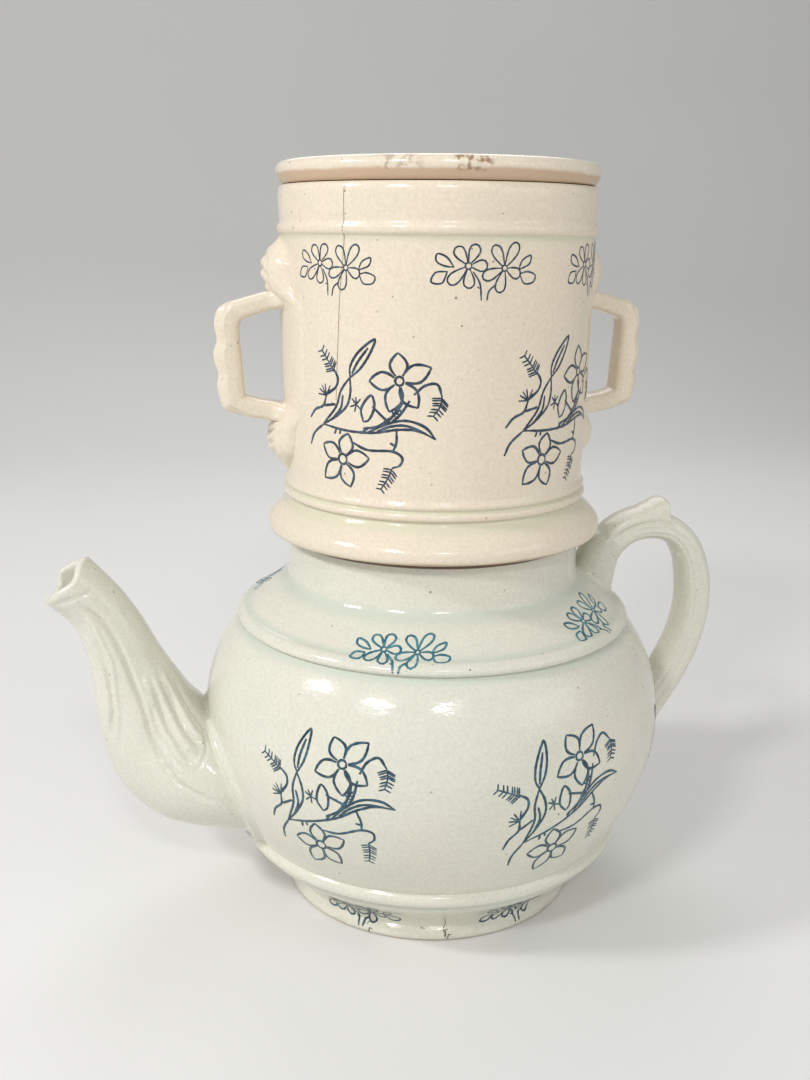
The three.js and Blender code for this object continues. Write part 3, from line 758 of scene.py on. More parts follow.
def pierced(plate, ring_counts, pitch, hole_radius, level):
    """Pricks rings of round holes through a turned plate, in mm."""
    bpy.ops.object.select_all(action="DESELECT")
    pins = []
    for ring, count in enumerate(ring_counts):
        for k in range(count):
            a = math.tau * k / count + ring
            at = Vector((ring * pitch * math.cos(a), ring * pitch * math.sin(a), level)) * MM
            bpy.ops.mesh.primitive_cylinder_add(
                vertices=16, radius=hole_radius * MM, depth=PIN_LENGTH * MM, location=at
            )
            pins.append(bpy.context.object)
    for pin in pins:
        pin.select_set(True)
    bpy.context.view_layer.objects.active = pins[0]
    bpy.ops.object.join()
    cut_away(plate, pins[0], sharp_from=40)


strainer_section = [
    (0, 133.3), (20, 133.3), (44.8, 133.3), (45.5, 133.9), (45.5, 136.7), (44.8, 137.3), (20, 137.3),
    (0, 137.3),
]
strainer = turned("filter_strainer_plate", outline(strainer_section, step=4), turns=96)
pierced(strainer, [1, 6, 12, 18], pitch=11, hole_radius=1.4, level=135.3)
strainer.data.materials.append(inner_glaze)
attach(strainer, "filter")
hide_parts("filter_strainer")

# Filter handles
# A pair of angular loops pressed in a two-part mould, with flat faces and a scalloped outer edge,
# joined to the moulded pads on the wall with slip.

loop_stations = [
    ((52, 239), (52, 231.6), 13), ((64.3, 235.8), (62.6, 229), 12.4),
    ((72.2, 233.6), (69.6, 226.9), 12), ((77.6, 231.9), (72, 225.7), 11.8),
    ((80.5, 229.6), (72.7, 224), 11.8), ((81.8, 224.5), (72.8, 221.4), 11.8),
    ((81, 218.8), (72.6, 217.6), 11.8), ((82.3, 214.6), (72.3, 214.2), 11.8),
    ((82, 210.8), (72.1, 211), 11.8), ((80.8, 206.8), (71.8, 207.2), 11.8),
    ((81.4, 202.6), (71.6, 203.4), 11.8), ((80.6, 198.4), (71.4, 200.6), 11.8),
    ((79.4, 194.3), (71, 199.1), 11.8), ((76.2, 192.5), (69.4, 198.4), 11.8),
    ((71, 191.2), (66.4, 197.6), 12), ((64, 189.8), (61.4, 196.7), 12.4), ((52, 188.4), (52, 194.6), 13),
]
loop_steps = [10, 7, 5, 4, 5, 5, 5, 5, 5, 5, 5, 5, 4, 5, 7, 10]
# The scalloped crest stands out of the middle of the outer face, and the arms flare at the wall
LOOP_SIDES, LOOP_SQUARENESS = 88, 3.6
CREST_OUT, CREST_UPRIGHT, CREST_OUTWARD, CREST_BESIDE = 2.3, (0.6, 0.85), (0.1, 0.5), (1.5, 3.2)
ARM_FLARE, FLARE_FADE = 0.5, (57.5, 64)
PAD_PROUD = 0.35
# The loops and their leaves were set by hand, the right ones a little closer to the wall, in mm
RIGHT_SET = (-1.8, 0, -0.5)
LEFT_SET = (0, 0, -0.7)
wall_skin = skin_of(wall_outside)
pad_skin = [(height, radius + PAD_PROUD) for height, radius in wall_skin]
loop_rings = []
for middle, reach, half_width in member(loop_stations, loop_steps):
    ring = ring_of(middle, reach, half_width, LOOP_SQUARENESS, LOOP_SIDES)
    out = Vector((reach.x, 0, reach.y)).normalized()
    upright = eased(out.x, *CREST_UPRIGHT)
    flare = 1 + ARM_FLARE * (1 - eased(middle.x, *FLARE_FADE)) ** 2
    for k, point in enumerate(ring):
        point.y *= flare
        outward = eased(math.cos(math.tau * k / LOOP_SIDES), *CREST_OUTWARD)
        beside = eased(abs(point.y), *CREST_BESIDE)
        point -= out * (CREST_OUT * upright * outward * beside)
    loop_rings.append(ring)
loop_rings = joined(loop_rings, pad_skin, reach=2.2, spread=1.6, upper=(14, 10), lower=(14, 10))


def set_on(piece, half_turn, shift):
    """Turns a whole mesh round the axis by 0 or 180 degrees and shifts it by so many mm."""
    only(piece)
    bpy.ops.object.mode_set(mode="EDIT")
    bpy.ops.mesh.select_all(action="SELECT")
    if half_turn:
        bpy.ops.transform.rotate(value=math.pi, orient_axis="Z", center_override=(0, 0, 0))
    bpy.ops.transform.translate(value=[part * MM for part in shift])
    bpy.ops.object.mode_set(mode="OBJECT")


def pair(piece, name):
    """The piece for the right, and a copy with its own mesh for the left, both named."""
    only(piece)
    bpy.ops.object.duplicate()
    left = bpy.context.object
    piece.name, left.name = name + "_right", name + "_left"
    set_on(piece, False, RIGHT_SET)
    set_on(left, True, LEFT_SET)
    return (piece, "right"), (left, "left")


loop_piece = pulled("filter_handle", loop_rings)
loop_piece.data.materials.append(vessel_glaze)
for loop, side in pair(loop_piece, "filter_handle_loop"):
    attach(loop, "filter")
    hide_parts("filter_handle_" + side)

# Leaf mouldings and pads
# A leaf above and below each loop, smooth on its faces and lobed along its crest, and a thin pad
# between them, pressed in the same mould as the loop and luted to the wall.

FACE_SIDES = 72
BACK_SIDES = 12
SUNK = 1.8
EDGE_SUNK = 0.2
DOME_POWER = 0.75
CREST_HALF_WIDTH = 7.5
LOBE_SLANT = 0.45
NOTCH_DEPTH, NOTCH_HALF_WIDTH = 0.2, 0.95
SWELL_RISE, SWELL_HALF_WIDTH = 0.05, 1.3
VEIN_DEPTH = 0.012
# Height with half width, and height with how far the leaf stands out of the wall
upper_leaf_width = [
    (228.5, 24), (231, 23), (233, 20.4), (235, 17.6), (237.5, 15.6), (240, 14.8), (243, 14.4), (246, 14),
    (248.5, 12.4), (250.6, 10), (252.4, 7.6), (253.8, 5.4), (255, 2.8), (255.6, 0.8),
]
upper_leaf_rise = [
    (228.5, 0.3), (231, 0.9), (233, 2), (235, 3.9), (237, 5.6), (239.6, 6.6), (242.8, 7.2), (246, 7.1),
    (247.6, 6.7), (249.2, 5.8), (250.7, 4.7), (252.2, 3.4), (253.6, 2), (254.8, 0.9), (255.6, 0.3),
]
# Lobes of a crest, each as the height of its notch and of its swell
upper_lobes = [(234, 237), (239.9, 242.8), (245, 247), (249.8, 251.2)]
lower_leaf_width = [
    (170.2, 0.8), (170.9, 2.8), (172.2, 5), (174, 7.6), (176, 10.2), (178.6, 12.6), (181.6, 14),
    (185, 14.8), (188, 16), (190.5, 18), (193, 20.4), (196, 22.4), (198, 23),
]
lower_leaf_rise = [
    (170.2, 0.2), (171.4, 0.8), (172.7, 1.8), (174.2, 3.1), (175.8, 4.4), (177.4, 5.5), (179, 6.5),
    (181.4, 7), (184, 6.9), (186.4, 6.4), (188.4, 5.3), (190.6, 3.4), (193, 1.9), (195.5, 0.9), (198, 0.3),
]
lower_lobes = [(173, 174.6), (176.6, 178.4), (180.2, 182.4), (184.6, 186.6)]
pad_width = [
    (192.4, 13), (192.9, 16), (194, 18.6), (195.6, 20.6), (199, 22.7), (208, 23.4), (216.5, 23.8),
    (229, 24.5), (231.4, 24), (233, 22), (234, 19), (234.6, 15),
]
pad_rise = [(192.4, 0.1), (193.4, PAD_PROUD), (233.6, PAD_PROUD), (234.6, 0.1)]


def lobed(lobes, away):
    """Notches along the crest of a leaf, each slanting towards away (1 up, -1 down) on its faces."""
    def share(across, height):
        off = abs(across)
        crest = 1 - eased(off, 0.45 * CREST_HALF_WIDTH, CREST_HALF_WIDTH)
        level = height - away * LOBE_SLANT * off
        notch = max(math.exp(-((level - start) / NOTCH_HALF_WIDTH) ** 2) for start, _ in lobes)
        swell = max(math.exp(-((level - top) / SWELL_HALF_WIDTH) ** 2) for _, top in lobes)
        veins = VEIN_DEPTH * math.cos(across * 2.1)
        return 1 - NOTCH_DEPTH * crest * notch + SWELL_RISE * crest * swell - veins
    return share


def pressed(name, widths, rises, step, crown, relief):
    """A low moulding on the +X side of the filter's wall, built up level by level, in mm."""
    width_run, rise_run = evenly(widths, 6), evenly(rises, 6)
    bottom, top = widths[0][0], widths[-1][0]
    levels = round((top - bottom) / step)
    rings = []
    for n in range(levels + 1):
        height = bottom + (top - bottom) * n / levels
        half_width, rise = along(width_run, height), along(rise_run, height)
        wall = along(wall_skin, height)
        ring = []
        for k in range(FACE_SIDES + BACK_SIDES):
            if k < FACE_SIDES:
                share = math.sin(math.pi * (k / (FACE_SIDES - 1) - 0.5))
                dome = (1 - abs(share) ** crown) ** DOME_POWER
                lift = -EDGE_SUNK + (rise + EDGE_SUNK) * dome * relief(share * half_width, height)
            else:
                share = 1 - 2 * (k - FACE_SIDES + 0.5) / BACK_SIDES
                lift = -SUNK
            turn = share * half_width / wall
            out = wall + lift
            ring.append(Vector((out * math.cos(turn), out * math.sin(turn), height)))
        rings.append(ring)
    return pulled(name, rings)


# Each with its widths, its rises, the step between levels, how square it is across, and its relief
mouldings = [
    ("leaf_upper", upper_leaf_width, upper_leaf_rise, 0.35, 2.2, lobed(upper_lobes, -1)),
    ("leaf_lower", lower_leaf_width, lower_leaf_rise, 0.35, 2.2, lobed(lower_lobes, 1)),
    ("pad", pad_width, pad_rise, 0.5, 16, lambda across, height: 1),
]
for word, widths, rises, step, crown, relief in mouldings:
    piece = pressed("filter_" + word, widths, rises, step, crown, relief)
    piece.data.materials.append(vessel_glaze)
    for moulding, side in pair(piece, "filter_" + word + "_moulded"):
        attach(moulding, "filter")
        if word != "pad":
            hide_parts("filter_" + word + "_" + side)

# Spreader dish
# A shallow pierced dish that hangs on a ledge inside the filter vessel and spreads the water. It is
# turned in one piece, and its knob is turned apart and luted to the floor.

dish_section = [
    (0, 245.5), (24, 245.5), (44.8, 245.5), (46.6, 246.2), (47.6, 247.8), (48.8, 253.5), (49.6, 258),
    (49.9, 258.3), (53, 258.3), (53.3, 258.7), (53.3, 261.2), (52.8, 261.9), (50.5, 262), (48.4, 261.8),
    (47, 260.4), (46, 258), (44.4, 251.6), (43.8, 250), (42.8, 249.2), (41, 249.1), (24, 249.1), (0, 249.1),
]
dish = turned("spreader_dish_turned", outline(dish_section, step=2), turns=120)
pierced(dish, [0, 0, 10, 15], pitch=11.5, hole_radius=1.5, level=247.3)
dish.data.materials.append(inner_glaze)
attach(dish, "spreader")
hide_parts("spreader_dish")

# A knob as (share of its radius, share of its height)
KNOB_TURNS, KNOB_STEP = 64, 0.8
knob_shape = [
    (0, 0), (0.8, 0), (0.82, 0.04), (0.7, 0.16), (0.62, 0.3), (0.64, 0.44), (0.84, 0.54), (0.97, 0.64),
    (1, 0.72), (0.95, 0.84), (0.8, 0.93), (0.5, 0.985), (0, 1),
]


def knob_section(bottom, top, head):
    return [(r * head, bottom + h * (top - bottom)) for r, h in knob_shape]


spreader_knob = turned(
    "spreader_knob_turned", outline(knob_section(bottom=249.4, top=264, head=9), KNOB_STEP), KNOB_TURNS
)
spreader_knob.data.materials.append(inner_glaze)
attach(spreader_knob, "spreader")
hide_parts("spreader_knob")

# Lid
# A turned disc that sits on the rim with a locating step below. Its lower edge is bare and stained,
# its top edge is rounded and glazed, and its middle is sunk, so the knob hardly stands over the edge.

lid_section = [
    (0, 267.6), (26, 267.6), (50.4, 267.6), (51.6, 267.9), (52.2, 268.9), (52.2, 271.9), (52.5, 272.45),
    (53.4, 272.5), (56.2, 272.5), (56.8, 272.9), (57.8, 274.9), (58.4, 276.4), (58.5, 277.4), (58.2, 278.6),
    (57.4, 279.6), (55.8, 280.2), (53, 280.4), (50.5, 280.3), (48.4, 279.6), (46.6, 278.2), (44, 274.8),
    (42.2, 273), (40.5, 272.3), (38, 272), (20, 272), (0, 272),
]
LID_STEP = 1.1
LID_SPECKS = 0.35
LID_BARE = (0.58, 0.42, 0.29, 1)
LID_TAN = (0.56, 0.40, 0.27, 1)
LID_STAIN = (0.36, 0.24, 0.15, 1)
lid_glaze, tree, place, glaze_colour, shader = glazed(
    "Lid glaze", VESSEL_IVORY, VESSEL_CLOUD, SPECK_BROWN, LID_SPECKS
)
height, radius, axes = round_axis(tree, place)
# Degrees from -Y towards +X
azimuth = times(tree, maths(tree, "ARCTAN2", axes[0], times(tree, axes[1], -1.0)), 180 / math.pi)
outer_edge = between(tree, radius, 0.0548, 0.0556)
rub_to = maths(tree, "MULTIPLY_ADD", noise(tree, place, 40.0, 3.0), 0.003, 0.2744)
rubbed = between(tree, maths(tree, "SUBTRACT", rub_to, height), -0.0006, 0.0006)
pale_edge = mixed(tree, times(tree, rubbed, outer_edge), glaze_colour, LID_BARE)
seat_line = times(tree, between(tree, height, 0.2728, 0.2738, 0.8, 0.0), outer_edge)
bared = mixed(tree, seat_line, pale_edge, LID_TAN)
upper_edge = band(tree, height, 0.2747, 0.2757, 0.2797, 0.2803)
strong_patch = band(tree, azimuth, -9.0, -6.0, 3.0, 6.0)
faint_patch = times(tree, band(tree, azimuth, -36.0, -31.0, -21.0, -15.0), 0.55)
patches = times(tree, most(tree, strong_patch, faint_patch), upper_edge)
scuffs = patchy(tree, place, 420.0, 5.0, 0.46, 0.62)
scuffed = times(tree, times(tree, patches, scuffs), outer_edge)
tree.links.new(mixed(tree, scuffed, bared, LID_STAIN), shader.inputs["Base Color"])
lid = turned("lid_disc_turned", outline(lid_section, LID_STEP), VESSEL_TURNS)
lid.data.materials.append(lid_glaze)
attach(lid, "lid")
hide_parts("lid_disc")
lid_knob = turned(
    "lid_knob_turned", outline(knob_section(bottom=272.3, top=283.2, head=11), KNOB_STEP), KNOB_TURNS
)
lid_knob.data.materials.append(lid_glaze)
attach(lid_knob, "lid")
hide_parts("lid_knob")

# Blue prints
# Flower sprays in blue, printed under the glaze from tissue pulls, as was common on such ware. The
# two patterns are drawn once, flat and in strokes, and each print is a copy laid on the wall.

LINE_HALF_WIDTH, FINE_HALF_WIDTH = 0.47, 0.3
STROKE_STEP = 0.9
INK_THICKNESS = 0.09
INK_SEAT, INK_BULGE = 0.35, 0.6
INK_SMOOTHEST, INK_DULLEST = 0.2, 0.34
# How lightly a stroke ends, over which share of its length, and how much its width wavers
LIGHT_END, END_SHARE, WAVER = 0.3, 0.2, 0.12
BARB_SHRINK, BARB_LEAN = 0.4, 0.45
# Flowers as (centre, radius of the eye, width of a petal, tips of the petals), in mm
big_flowers = [
    ((11.5, 12), 1.7, 6, [(10.9, 21.3), (22.1, 16.7), (17.8, 3.3), (7.9, 1.6), (0.8, 11.6)]),
    ((-10.1, -16), 2, 5.8, [(-7.6, -6.9), (0.6, -14.8), (-7, -25.5), (-18.6, -23.6), (-19, -11.6)]),
]
big_lines = [
    [(-6.5, 12.2), (-6.6, 15.5), (-3.6, 20.5), (3, 25.3), (1.6, 21.5), (-2.4, 15.6), (-6.5, 12.2)],
    [(-5.8, 13.6), (-3.6, 17.4), (0.4, 22.4)],
    [(-6.7, 12.2), (-10.4, 7.6), (-12.6, 2), (-18.7, -4.5)],
    [(-6.6, 12.2), (-6.5, 7.1), (-8, 2.6), (-12.4, -1.2), (-18, -4.4)],
    [(-9.6, 6.2), (-10.6, 1.6), (-14.6, -2.6)],
    [(-13.5, 14.8), (-11.6, 11.2), (-13, 8.2), (-16.4, 6.6)],
    [(-17.1, 5.4), (-18.8, 1.7), (-23, -0.1), (-26, -3.2)],
    [(-18.8, 1.7), (-12.9, 2.7)],
    [(-26.2, -12.7), (-24, -8.6), (-18.7, -4.7)],
    [(-18.5, -4.8), (-8.1, -5.9), (2.2, -5.8), (11.5, -4.2), (18.1, -4.5), (23.7, -7.2)],
    [(0.2, -5.8), (6.9, -2.6), (13.7, -1.1), (20.3, -3.2), (23.7, -7.2)],
    [(3.6, -5.2), (8.1, -3.4), (13.6, -2.8), (20.4, -5.2)],
    [(-1.6, -4.6), (4.2, -3.4), (8.1, -0.4)],
    [(-1.5, -2.3), (-2.3, 2), (1.6, 6.8), (2.7, 3.2), (0.3, -1.8), (-1.5, -2.3)],
    [(1.9, 3.1), (5, 0.4), (7.8, -2)],
    [(12.8, 5), (9.8, 1.1), (7.2, -2.2)],
    [(15, 5.6), (11.7, 0.8), (8.1, -2.4)],
    [(16.4, 7.6), (20.2, 10.8), (24.1, 11.2), (25.7, 7.1)],
    [(10.5, -4.8), (10.4, -8.8), (9.2, -11.7)],
    [(-6.8, -9.3), (-0.4, -11.8), (9.7, -11.9), (12.5, -13.9), (11.6, -16.4), (9, -17.4)],
    [(9.8, -9.8), (8.2, -8.9)],
    [(-12.6, -5.6), (-13.6, -7.6)],
    [(-11, -5.7), (-11.2, -7.4)],
    [(0.6, -4), (-1.7, -5.6)],
]
# Ferns as a line from root to tip, with the length and number of the barbs on each side
ferns = [
    ([(-13.5, 13.7), (-15.4, 16.4), (-19.2, 20.8)], 3.3, 7),
    ([(25.7, 7.1), (25.2, 4.2), (22.7, 0.4)], 3.3, 7),
    ([(9, -17.4), (7.4, -21), (4.6, -25.4)], 3, 7),
    ([(9, -0.2), (12, 2.6)], 2, 3),
]
# Small stars of rays, as (centre, length, directions in degrees)
stars = [((-17.1, 5.4), 4, [100, 125, 150, 62, 30, 178]), ((-4.2, 3.3), 2.6, [50, 92, 130, 200, 255, 320])]
small_flowers = [
    ((-5, 1.6), 1.2, 3.6, [(-9.1, 7.4), (-2.2, 8.2), (1.3, 1.7), (-4.6, -5.4), (-11.4, -3.9)]),
    ((7.3, 0.9), 1.1, 3.5, [(3.4, 8), (11.8, 8.8), (13, -1.4), (5.4, -6.8), (-0.2, -2.1)]),
]
small_lines = [
    [(-9.7, 1.2), (-12.6, 1.5), (-15.4, 3), (-15.2, 5.3), (-12.2, 4.4), (-9.7, 1.2)],
    [(-11.8, -0.2), (-15.7, -0.6), (-17, -3.5), (-13.6, -3.9), (-11.8, -0.2)],
    [(12.5, 0.4), (13.8, 3.4), (17.1, 4.9), (16.7, 2.4), (12.5, 0.4)],
    [(12.9, -1), (15.5, -0.2), (19.1, -1.4), (18.6, -3.4), (14.8, -4), (12.9, -1)],
    [(-3.4, -0.2), (-1.1, -3.9), (-0.5, -9.3)],
    [(4.6, -4.2), (2.1, -6.2), (1.4, -9.3)],
    [(-0.8, -5.6), (-2, -5)],
]


def heading(degrees):
    return Vector((math.cos(math.radians(degrees)), math.sin(math.radians(degrees))))


def petal(centre, tip, gap, width, blunt):
    """A petal as strokes from near the flower's centre: two that meet in a point, or one loop."""
    start, end = Vector(centre), Vector(tip)
    run = end - start
    across = Vector((-run.y, run.x)).normalized() * width / 2
    base = start + run.normalized() * gap
    # Each side as (share of the length, share of the half width)
    if blunt:
        sides = [(0, 0.25), (0.3, 0.7), (0.62, 1), (0.86, 0.86), (0.99, 0.3)]
    else:
        sides = [(0, 0.38), (0.24, 0.84), (0.48, 1), (0.76, 0.64)]
    left = [base.lerp(end, t) + across * w for t, w in sides]
    right = [base.lerp(end, t) - across * w for t, w in sides]
    if blunt:
        return [[*left, *right[::-1]]]
    return [[*left, end], [*right, end]]


def flower(centre, eye, width, tips, blunt):
    middle = Vector(centre)
    lines = [line for tip in tips for line in petal(centre, tip, eye, width, blunt)]
    ring = [middle + heading(45 * n) * eye * 0.9 for n in range(9)]
    return lines + [ring]


def fern(line, barb, count):
    stem = through(line, [12] * (len(line) - 1))
    lines = [stem]
    for n in range(count):
        at = stem[round((len(stem) - 1) * (n + 0.6) / count)]
        ahead = (stem[-1] - stem[0]).normalized()
        across = Vector((-ahead.y, ahead.x))
        size = barb * (1 - BARB_SHRINK * n / count)
        lines += [[at, at + (ahead * BARB_LEAN + across * side).normalized() * size] for side in (1, -1)]
    return lines


def drawn(name, groups):
    """Draws groups of (half width, strokes) flat, in mm, as raised lines that narrow at their ends."""
    bpy.ops.object.select_all(action="DESELECT")
    bpy.ops.curve.primitive_bezier_curve_add(location=(0, 0, 0))
    drawing = bpy.context.object
    drawing.name = name
    drawing.data.dimensions = "3D"
    drawing.data.splines.clear()
    for half_width, lines in groups:
        for line in lines:
            points = outline(line, STROKE_STEP)
            stroke = drawing.data.splines.new("POLY")
            stroke.points.add(len(points) - 1)
            for n, point in enumerate(points):
                end = min(n, len(points) - 1 - n) / len(points)
                pressure = 1 - LIGHT_END * (1 - eased(end, 0, END_SHARE))
                pressure += WAVER * math.sin(point.x * 1.7 + point.y * 2.3)
                stroke.points[n].co = (point.x, point.y, 0, 1)
                stroke.points[n].radius = half_width * pressure
    drawing.data.bevel_depth = 1
    drawing.data.bevel_resolution = 1
    drawing.data.use_fill_caps = True
    bpy.ops.object.convert(target="MESH")
    return bpy.context.object


def up_the(skin):
    """The way up a turned skin: distance walked, with the radius and height reached."""
    walk = [(0.0, Vector((skin[0][1], skin[0][0])))]
    for height, radius in skin[1:]:
        at = Vector((radius, height))
        walk.append((walk[-1][0] + (at - walk[-1][1]).length, at))
    return walk


def laid(drawing, name, walk, turn, height, tilt=0, size=1):
    """Copies a flat drawing and lays it on a turned skin at a place given in degrees and mm."""
    only(drawing)
    bpy.ops.object.duplicate()
    copy = bpy.context.object
    copy.name = name
    start = along([(at.y, walked) for walked, at in walk], height)
    cos, sin = math.cos(math.radians(tilt)) * size, math.sin(math.radians(tilt)) * size
    for vertex in copy.data.vertices:
        flat = vertex.co
        across, up = flat.x * cos - flat.y * sin, flat.x * sin + flat.y * cos
        at = along(walk, start + up)
        rise = along(walk, start + up + 0.4) - along(walk, start + up - 0.4)
        proud = INK_SEAT + INK_BULGE * flat.z / LINE_HALF_WIDTH
        at = at + Vector((rise.y, -rise.x)).normalized() * INK_THICKNESS * proud
        bearing = math.radians(turn) + across / at.x
        vertex.co = Vector((math.sin(bearing) * at.x, -math.cos(bearing) * at.x, at.y)) * MM
    return faced_out(copy)


def ink(name, dark, light):
    """Printing colour under clear glaze, denser in some places than in others."""
    material, tree, place, shader = new_paint(name)
    density = patchy(tree, place, 260.0, 4.0, 0.4, 0.66)
    tree.links.new(mixed(tree, density, (*dark, 1), (*light, 1)), shader.inputs["Base Color"])
    sheen = patchy(tree, place, SHEEN_SCALE, 4.0, 0.3, 0.75, INK_SMOOTHEST, INK_DULLEST)
    tree.links.new(sheen, shader.inputs["Roughness"])
    shader.inputs["Coat Weight"].default_value = 0.35
    shader.inputs["Coat Roughness"].default_value = 0.1
    return material


big_strokes = big_lines[:]
for centre, eye, width, tips in big_flowers:
    big_strokes += flower(centre, eye, width, tips, blunt=False)
fine_strokes = []
for line, barb, count in ferns:
    fine_strokes += fern(line, barb, count)
for centre, length, turns in stars:
    for turn in turns:
        fine_strokes.append([Vector(centre), Vector(centre) + heading(turn) * length])
small_strokes = small_lines[:]
for centre, eye, width, tips in small_flowers:
    small_strokes += flower(centre, eye, width, tips, blunt=True)
large_groups = [(LINE_HALF_WIDTH, big_strokes), (FINE_HALF_WIDTH, fine_strokes)]
large_spray = drawn("large_spray_drawing", large_groups)
small_spray = drawn("small_spray_drawing", [(FINE_HALF_WIDTH, small_strokes)])
heavy_spray = drawn("heavy_spray_drawing", [(LINE_HALF_WIDTH, small_strokes)])

POT_BLUE, POT_BLUE_THIN = (0.008, 0.045, 0.08), (0.035, 0.12, 0.17)
SHOULDER_BLUE, SHOULDER_BLUE_THIN = (0.02, 0.13, 0.19), (0.08, 0.25, 0.30)
FILTER_BLUE, FILTER_BLUE_THIN = (0.012, 0.03, 0.065), (0.05, 0.09, 0.14)
pot_ink = ink("Pot blue", POT_BLUE, POT_BLUE_THIN)
shoulder_ink = ink("Shoulder blue", SHOULDER_BLUE, SHOULDER_BLUE_THIN)
filter_ink = ink("Filter blue", FILTER_BLUE, FILTER_BLUE_THIN)
pot_walk, wall_walk = up_the(pot_skin), up_the(wall_skin)
# Where each print lies: turn from -Y towards +X in degrees, height, tilt and size
POT_SPRAYS = [
    (-35.9, 68.5, 21, 1.03), (19.6, 67.3, 27, 1.03), (73, 67, 8, 0.82), (122, 68, -6, 1),
    (173, 66, 14, 1), (225, 67, 4, 1),
]
FILTER_SPRAYS = [(-36, 196.8, 0, 1), (38.5, 197, 2, 1), (143, 196.5, -2, 1), (219, 197, 3, 1)]
FILTER_SPRIGS = [
    (-50.9, 244.4, -3, 0.94), (2.7, 244.4, 0, 1), (55.4, 244.6, 2, 1), (126, 245, 0, 1),
    (180, 244.6, 1, 1), (231, 245, 0, 0.94),
]
SHOULDER_SPRIGS = [
    (-119, 119.8, 0, 0.95), (-22, 118.3, 2, 0.95), (47, 120.1, 9, 0.95), (118, 119.8, 0, 0.95),
    (190, 119, 3, 0.95),
]
BASE_SPRIGS = [(-39 + 62 * n, 9.4, 4, 0.88) for n in range(5)]
print_runs = [
    (large_spray, "pot_spray", pot_walk, POT_SPRAYS, "pot", pot_ink),
    (heavy_spray, "shoulder_sprig", pot_walk, SHOULDER_SPRIGS, "pot", shoulder_ink),
    (heavy_spray, "base_sprig", pot_walk, BASE_SPRIGS, "pot", pot_ink),
    (large_spray, "filter_spray", wall_walk, FILTER_SPRAYS, "filter", filter_ink),
    (small_spray, "filter_sprig", wall_walk, FILTER_SPRIGS, "filter", filter_ink),
]
for drawing, name, walk, places, carrier, colour in print_runs:
    for n, (turn, height, tilt, size) in enumerate(places, start=1):
        sprig = laid(drawing, name + "_" + str(n), walk, turn, height, tilt, size)
        sprig.data.materials.append(colour)
        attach(sprig, carrier)
for drawing in (large_spray, small_spray, heavy_spray):
    bpy.data.objects.remove(drawing)

# Hairline cracks and foot marks
# Age cracks in the glaze, stained brown: one down the filter's wall from the rim, a short one at
# the front of the foot, and a few dark nicks on the foot ring.

CRACK_HALF_WIDTH, NICK_HALF_WIDTH = 0.14, 0.28
crack_line = [
    (2.3, 70.6), (2.1, 60.6), (1.8, 52.7), (0.8, 43.2), (-0.3, 33.5), (-0.9, 23.6), (-1.7, 10.3),
    (-2.3, 0),
]
crack_stain = ink("Crack stain", (0.22, 0.15, 0.09), (0.42, 0.33, 0.22))
foot_line = [(0.4, 9), (0, 6), (0.5, 3), (-0.3, 0), (0.2, -3)]
# Cracks as (name, line, skin, turn, height of the line's foot, body)
crack_runs = [
    ("filter_crack", crack_line, wall_walk, -46.4, 200.9, "filter"),
    ("foot_crack", foot_line, pot_walk, -6, 4.4, "pot"),
]
for name, line, walk, turn, height, carrier in crack_runs:
    crack_drawing = drawn(name + "_drawing", [(CRACK_HALF_WIDTH, [line])])
    crack = laid(crack_drawing, name, walk, turn, height)
    crack.data.materials.append(crack_stain)
    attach(crack, carrier)
    bpy.data.objects.remove(crack_drawing)

nick_stain = ink("Nick stain", (0.06, 0.045, 0.03), (0.16, 0.11, 0.07))
nick_lines = [[(0, -1.4), (0.2, 0), (-0.1, 1.2)], [(-0.1, 1.1), (1.2, 1.4)]]
nick_drawing = drawn("nick_drawing", [(NICK_HALF_WIDTH, nick_lines)])
FOOT_NICKS = [
    (-36.8, 4.4, 10, 0.9), (-35.4, 4, -25, 0.5), (-39, 3.2, 60, 0.4), (-34.6, 1.6, -20, 0.9),
    (-14, 4.7, 80, 0.6), (-5.8, 3.2, 4, 1), (-4.8, 2, -22, 0.8), (140, 2.4, 8, 0.8),
]
for n, (turn, height, tilt, size) in enumerate(FOOT_NICKS, start=1):
    nick = laid(nick_drawing, "foot_nick_" + str(n), pot_walk, turn, height, tilt, size)
    nick.data.materials.append(nick_stain)
    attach(nick, "pot")
bpy.data.objects.remove(nick_drawing)

# Table and studio
# A plain pale sheet that serves as table top and rises behind in a wide curve. Three window shapes
# light the pot from the left and the front, and two wider, weaker lamps from the right and behind.
# The camera stands a little lower than the rim and looks down.

SHEET_HALF = 3.0
SHEET_BEND_AT = 0.9
SHEET_BEND = 0.9
SHEET_GREY, SHEET_LIGHT = (0.77, 0.765, 0.75, 1), (0.81, 0.805, 0.79, 1)
bpy.ops.object.select_all(action="DESELECT")
bpy.ops.mesh.primitive_grid_add(
    x_subdivisions=4, y_subdivisions=96, size=2 * SHEET_HALF, location=(0, 0, 0)
)
sheet = bpy.context.object
sheet.name = "backdrop_sheet"
quarter = SHEET_BEND * math.pi / 2
for vertex in sheet.data.vertices:
    past = vertex.co.y - SHEET_BEND_AT
    if past > 0:
        turn = min(past, quarter) / SHEET_BEND
        vertex.co.y = SHEET_BEND_AT + SHEET_BEND * math.sin(turn)
        vertex.co.z = SHEET_BEND * (1 - math.cos(turn)) + max(past - quarter, 0)
bpy.ops.object.shade_smooth()
sheet_paint, tree, place, shader = new_paint("Backdrop paper")
paper = mixed(tree, noise(tree, place, 3.0, 4.0), SHEET_GREY, SHEET_LIGHT)
tree.links.new(paper, shader.inputs["Base Color"])
shader.inputs["Roughness"].default_value = 0.8
sheet.data.materials.append(sheet_paint)

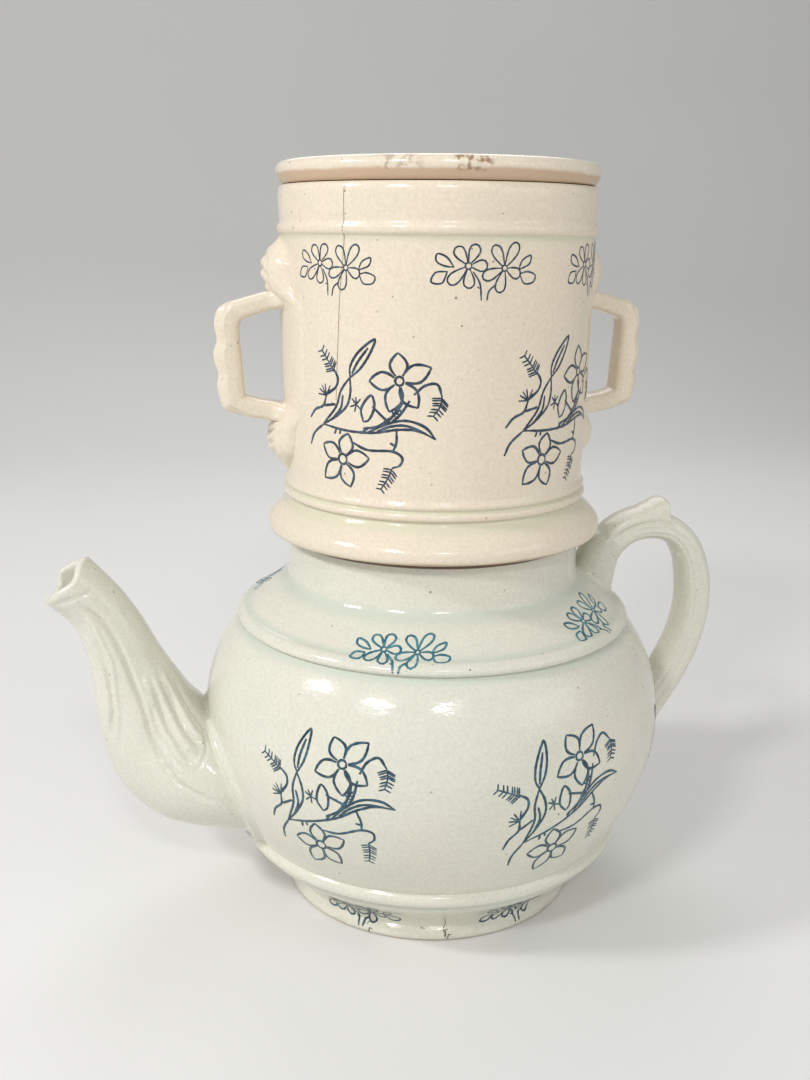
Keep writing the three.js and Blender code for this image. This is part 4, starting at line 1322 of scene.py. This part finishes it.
scene = bpy.context.scene
world = bpy.data.worlds.new("Pale room")
scene.world = world
world.use_nodes = True
room = world.node_tree
# The room is a little brighter where the camera sees it, so that it meets the sheet's own grey
ROOM_LIGHT, ROOM_SEEN = 0.46, 0.12
ROOM_COLOUR = (0.84, 0.84, 0.83, 1)
seen = put(room, "ShaderNodeLightPath").outputs["Is Camera Ray"]
strength = maths(room, "MULTIPLY_ADD", seen, ROOM_SEEN, ROOM_LIGHT)
room.nodes["Background"].inputs["Color"].default_value = ROOM_COLOUR
room.links.new(strength, room.nodes["Background"].inputs["Strength"])
# Lamps as (name, place, width, depth, watts), all turned towards the middle of the pot
LAMP_AIM = Vector((0, 0, 0.14))
lamps = [
    ("window_lamp_left", (-1.19, -0.22, 1.0), 0.2, 0.13, 7.5),
    ("window_lamp_middle", (-0.8, -0.9, 1.0), 0.22, 0.13, 6),
    ("window_lamp_right", (-0.1, -1.2, 1.0), 0.2, 0.13, 3.2),
    ("fill_lamp", (0.95, -0.8, 0.6), 0.8, 0.5, 2.4),
    ("back_lamp", (0.1, 0.8, 0.9), 0.7, 0.7, 3),
]
for name, at, width, depth, watts in lamps:
    bpy.ops.object.light_add(type="AREA", location=at)
    lamp = bpy.context.object
    lamp.name = name
    lamp.data.shape = "RECTANGLE"
    lamp.data.size = width
    lamp.data.size_y = depth
    lamp.data.energy = watts
    lamp.rotation_euler = (LAMP_AIM - Vector(at)).to_track_quat("-Z", "Y").to_euler()

CAMERA_AT = (-0.09418, -0.42483, 0.25613)
CAMERA_HEADING, CAMERA_DOWN, CAMERA_TILT = -11.069, 14.966, 0.507
CAMERA_LENS, CAMERA_SENSOR = 38.33, 36
bpy.ops.object.camera_add(location=CAMERA_AT)
camera = bpy.context.object
camera.data.lens = CAMERA_LENS
camera.data.sensor_width = CAMERA_SENSOR
camera.data.clip_start = 0.01
camera.matrix_world = (
    Matrix.Translation(CAMERA_AT)
    @ Matrix.Rotation(math.radians(CAMERA_HEADING), 4, "Z")
    @ Matrix.Rotation(math.radians(90 - CAMERA_DOWN), 4, "X")
    @ Matrix.Rotation(math.radians(CAMERA_TILT), 4, "Z")
)
scene.camera = camera
scene.view_settings.view_transform = "Standard"
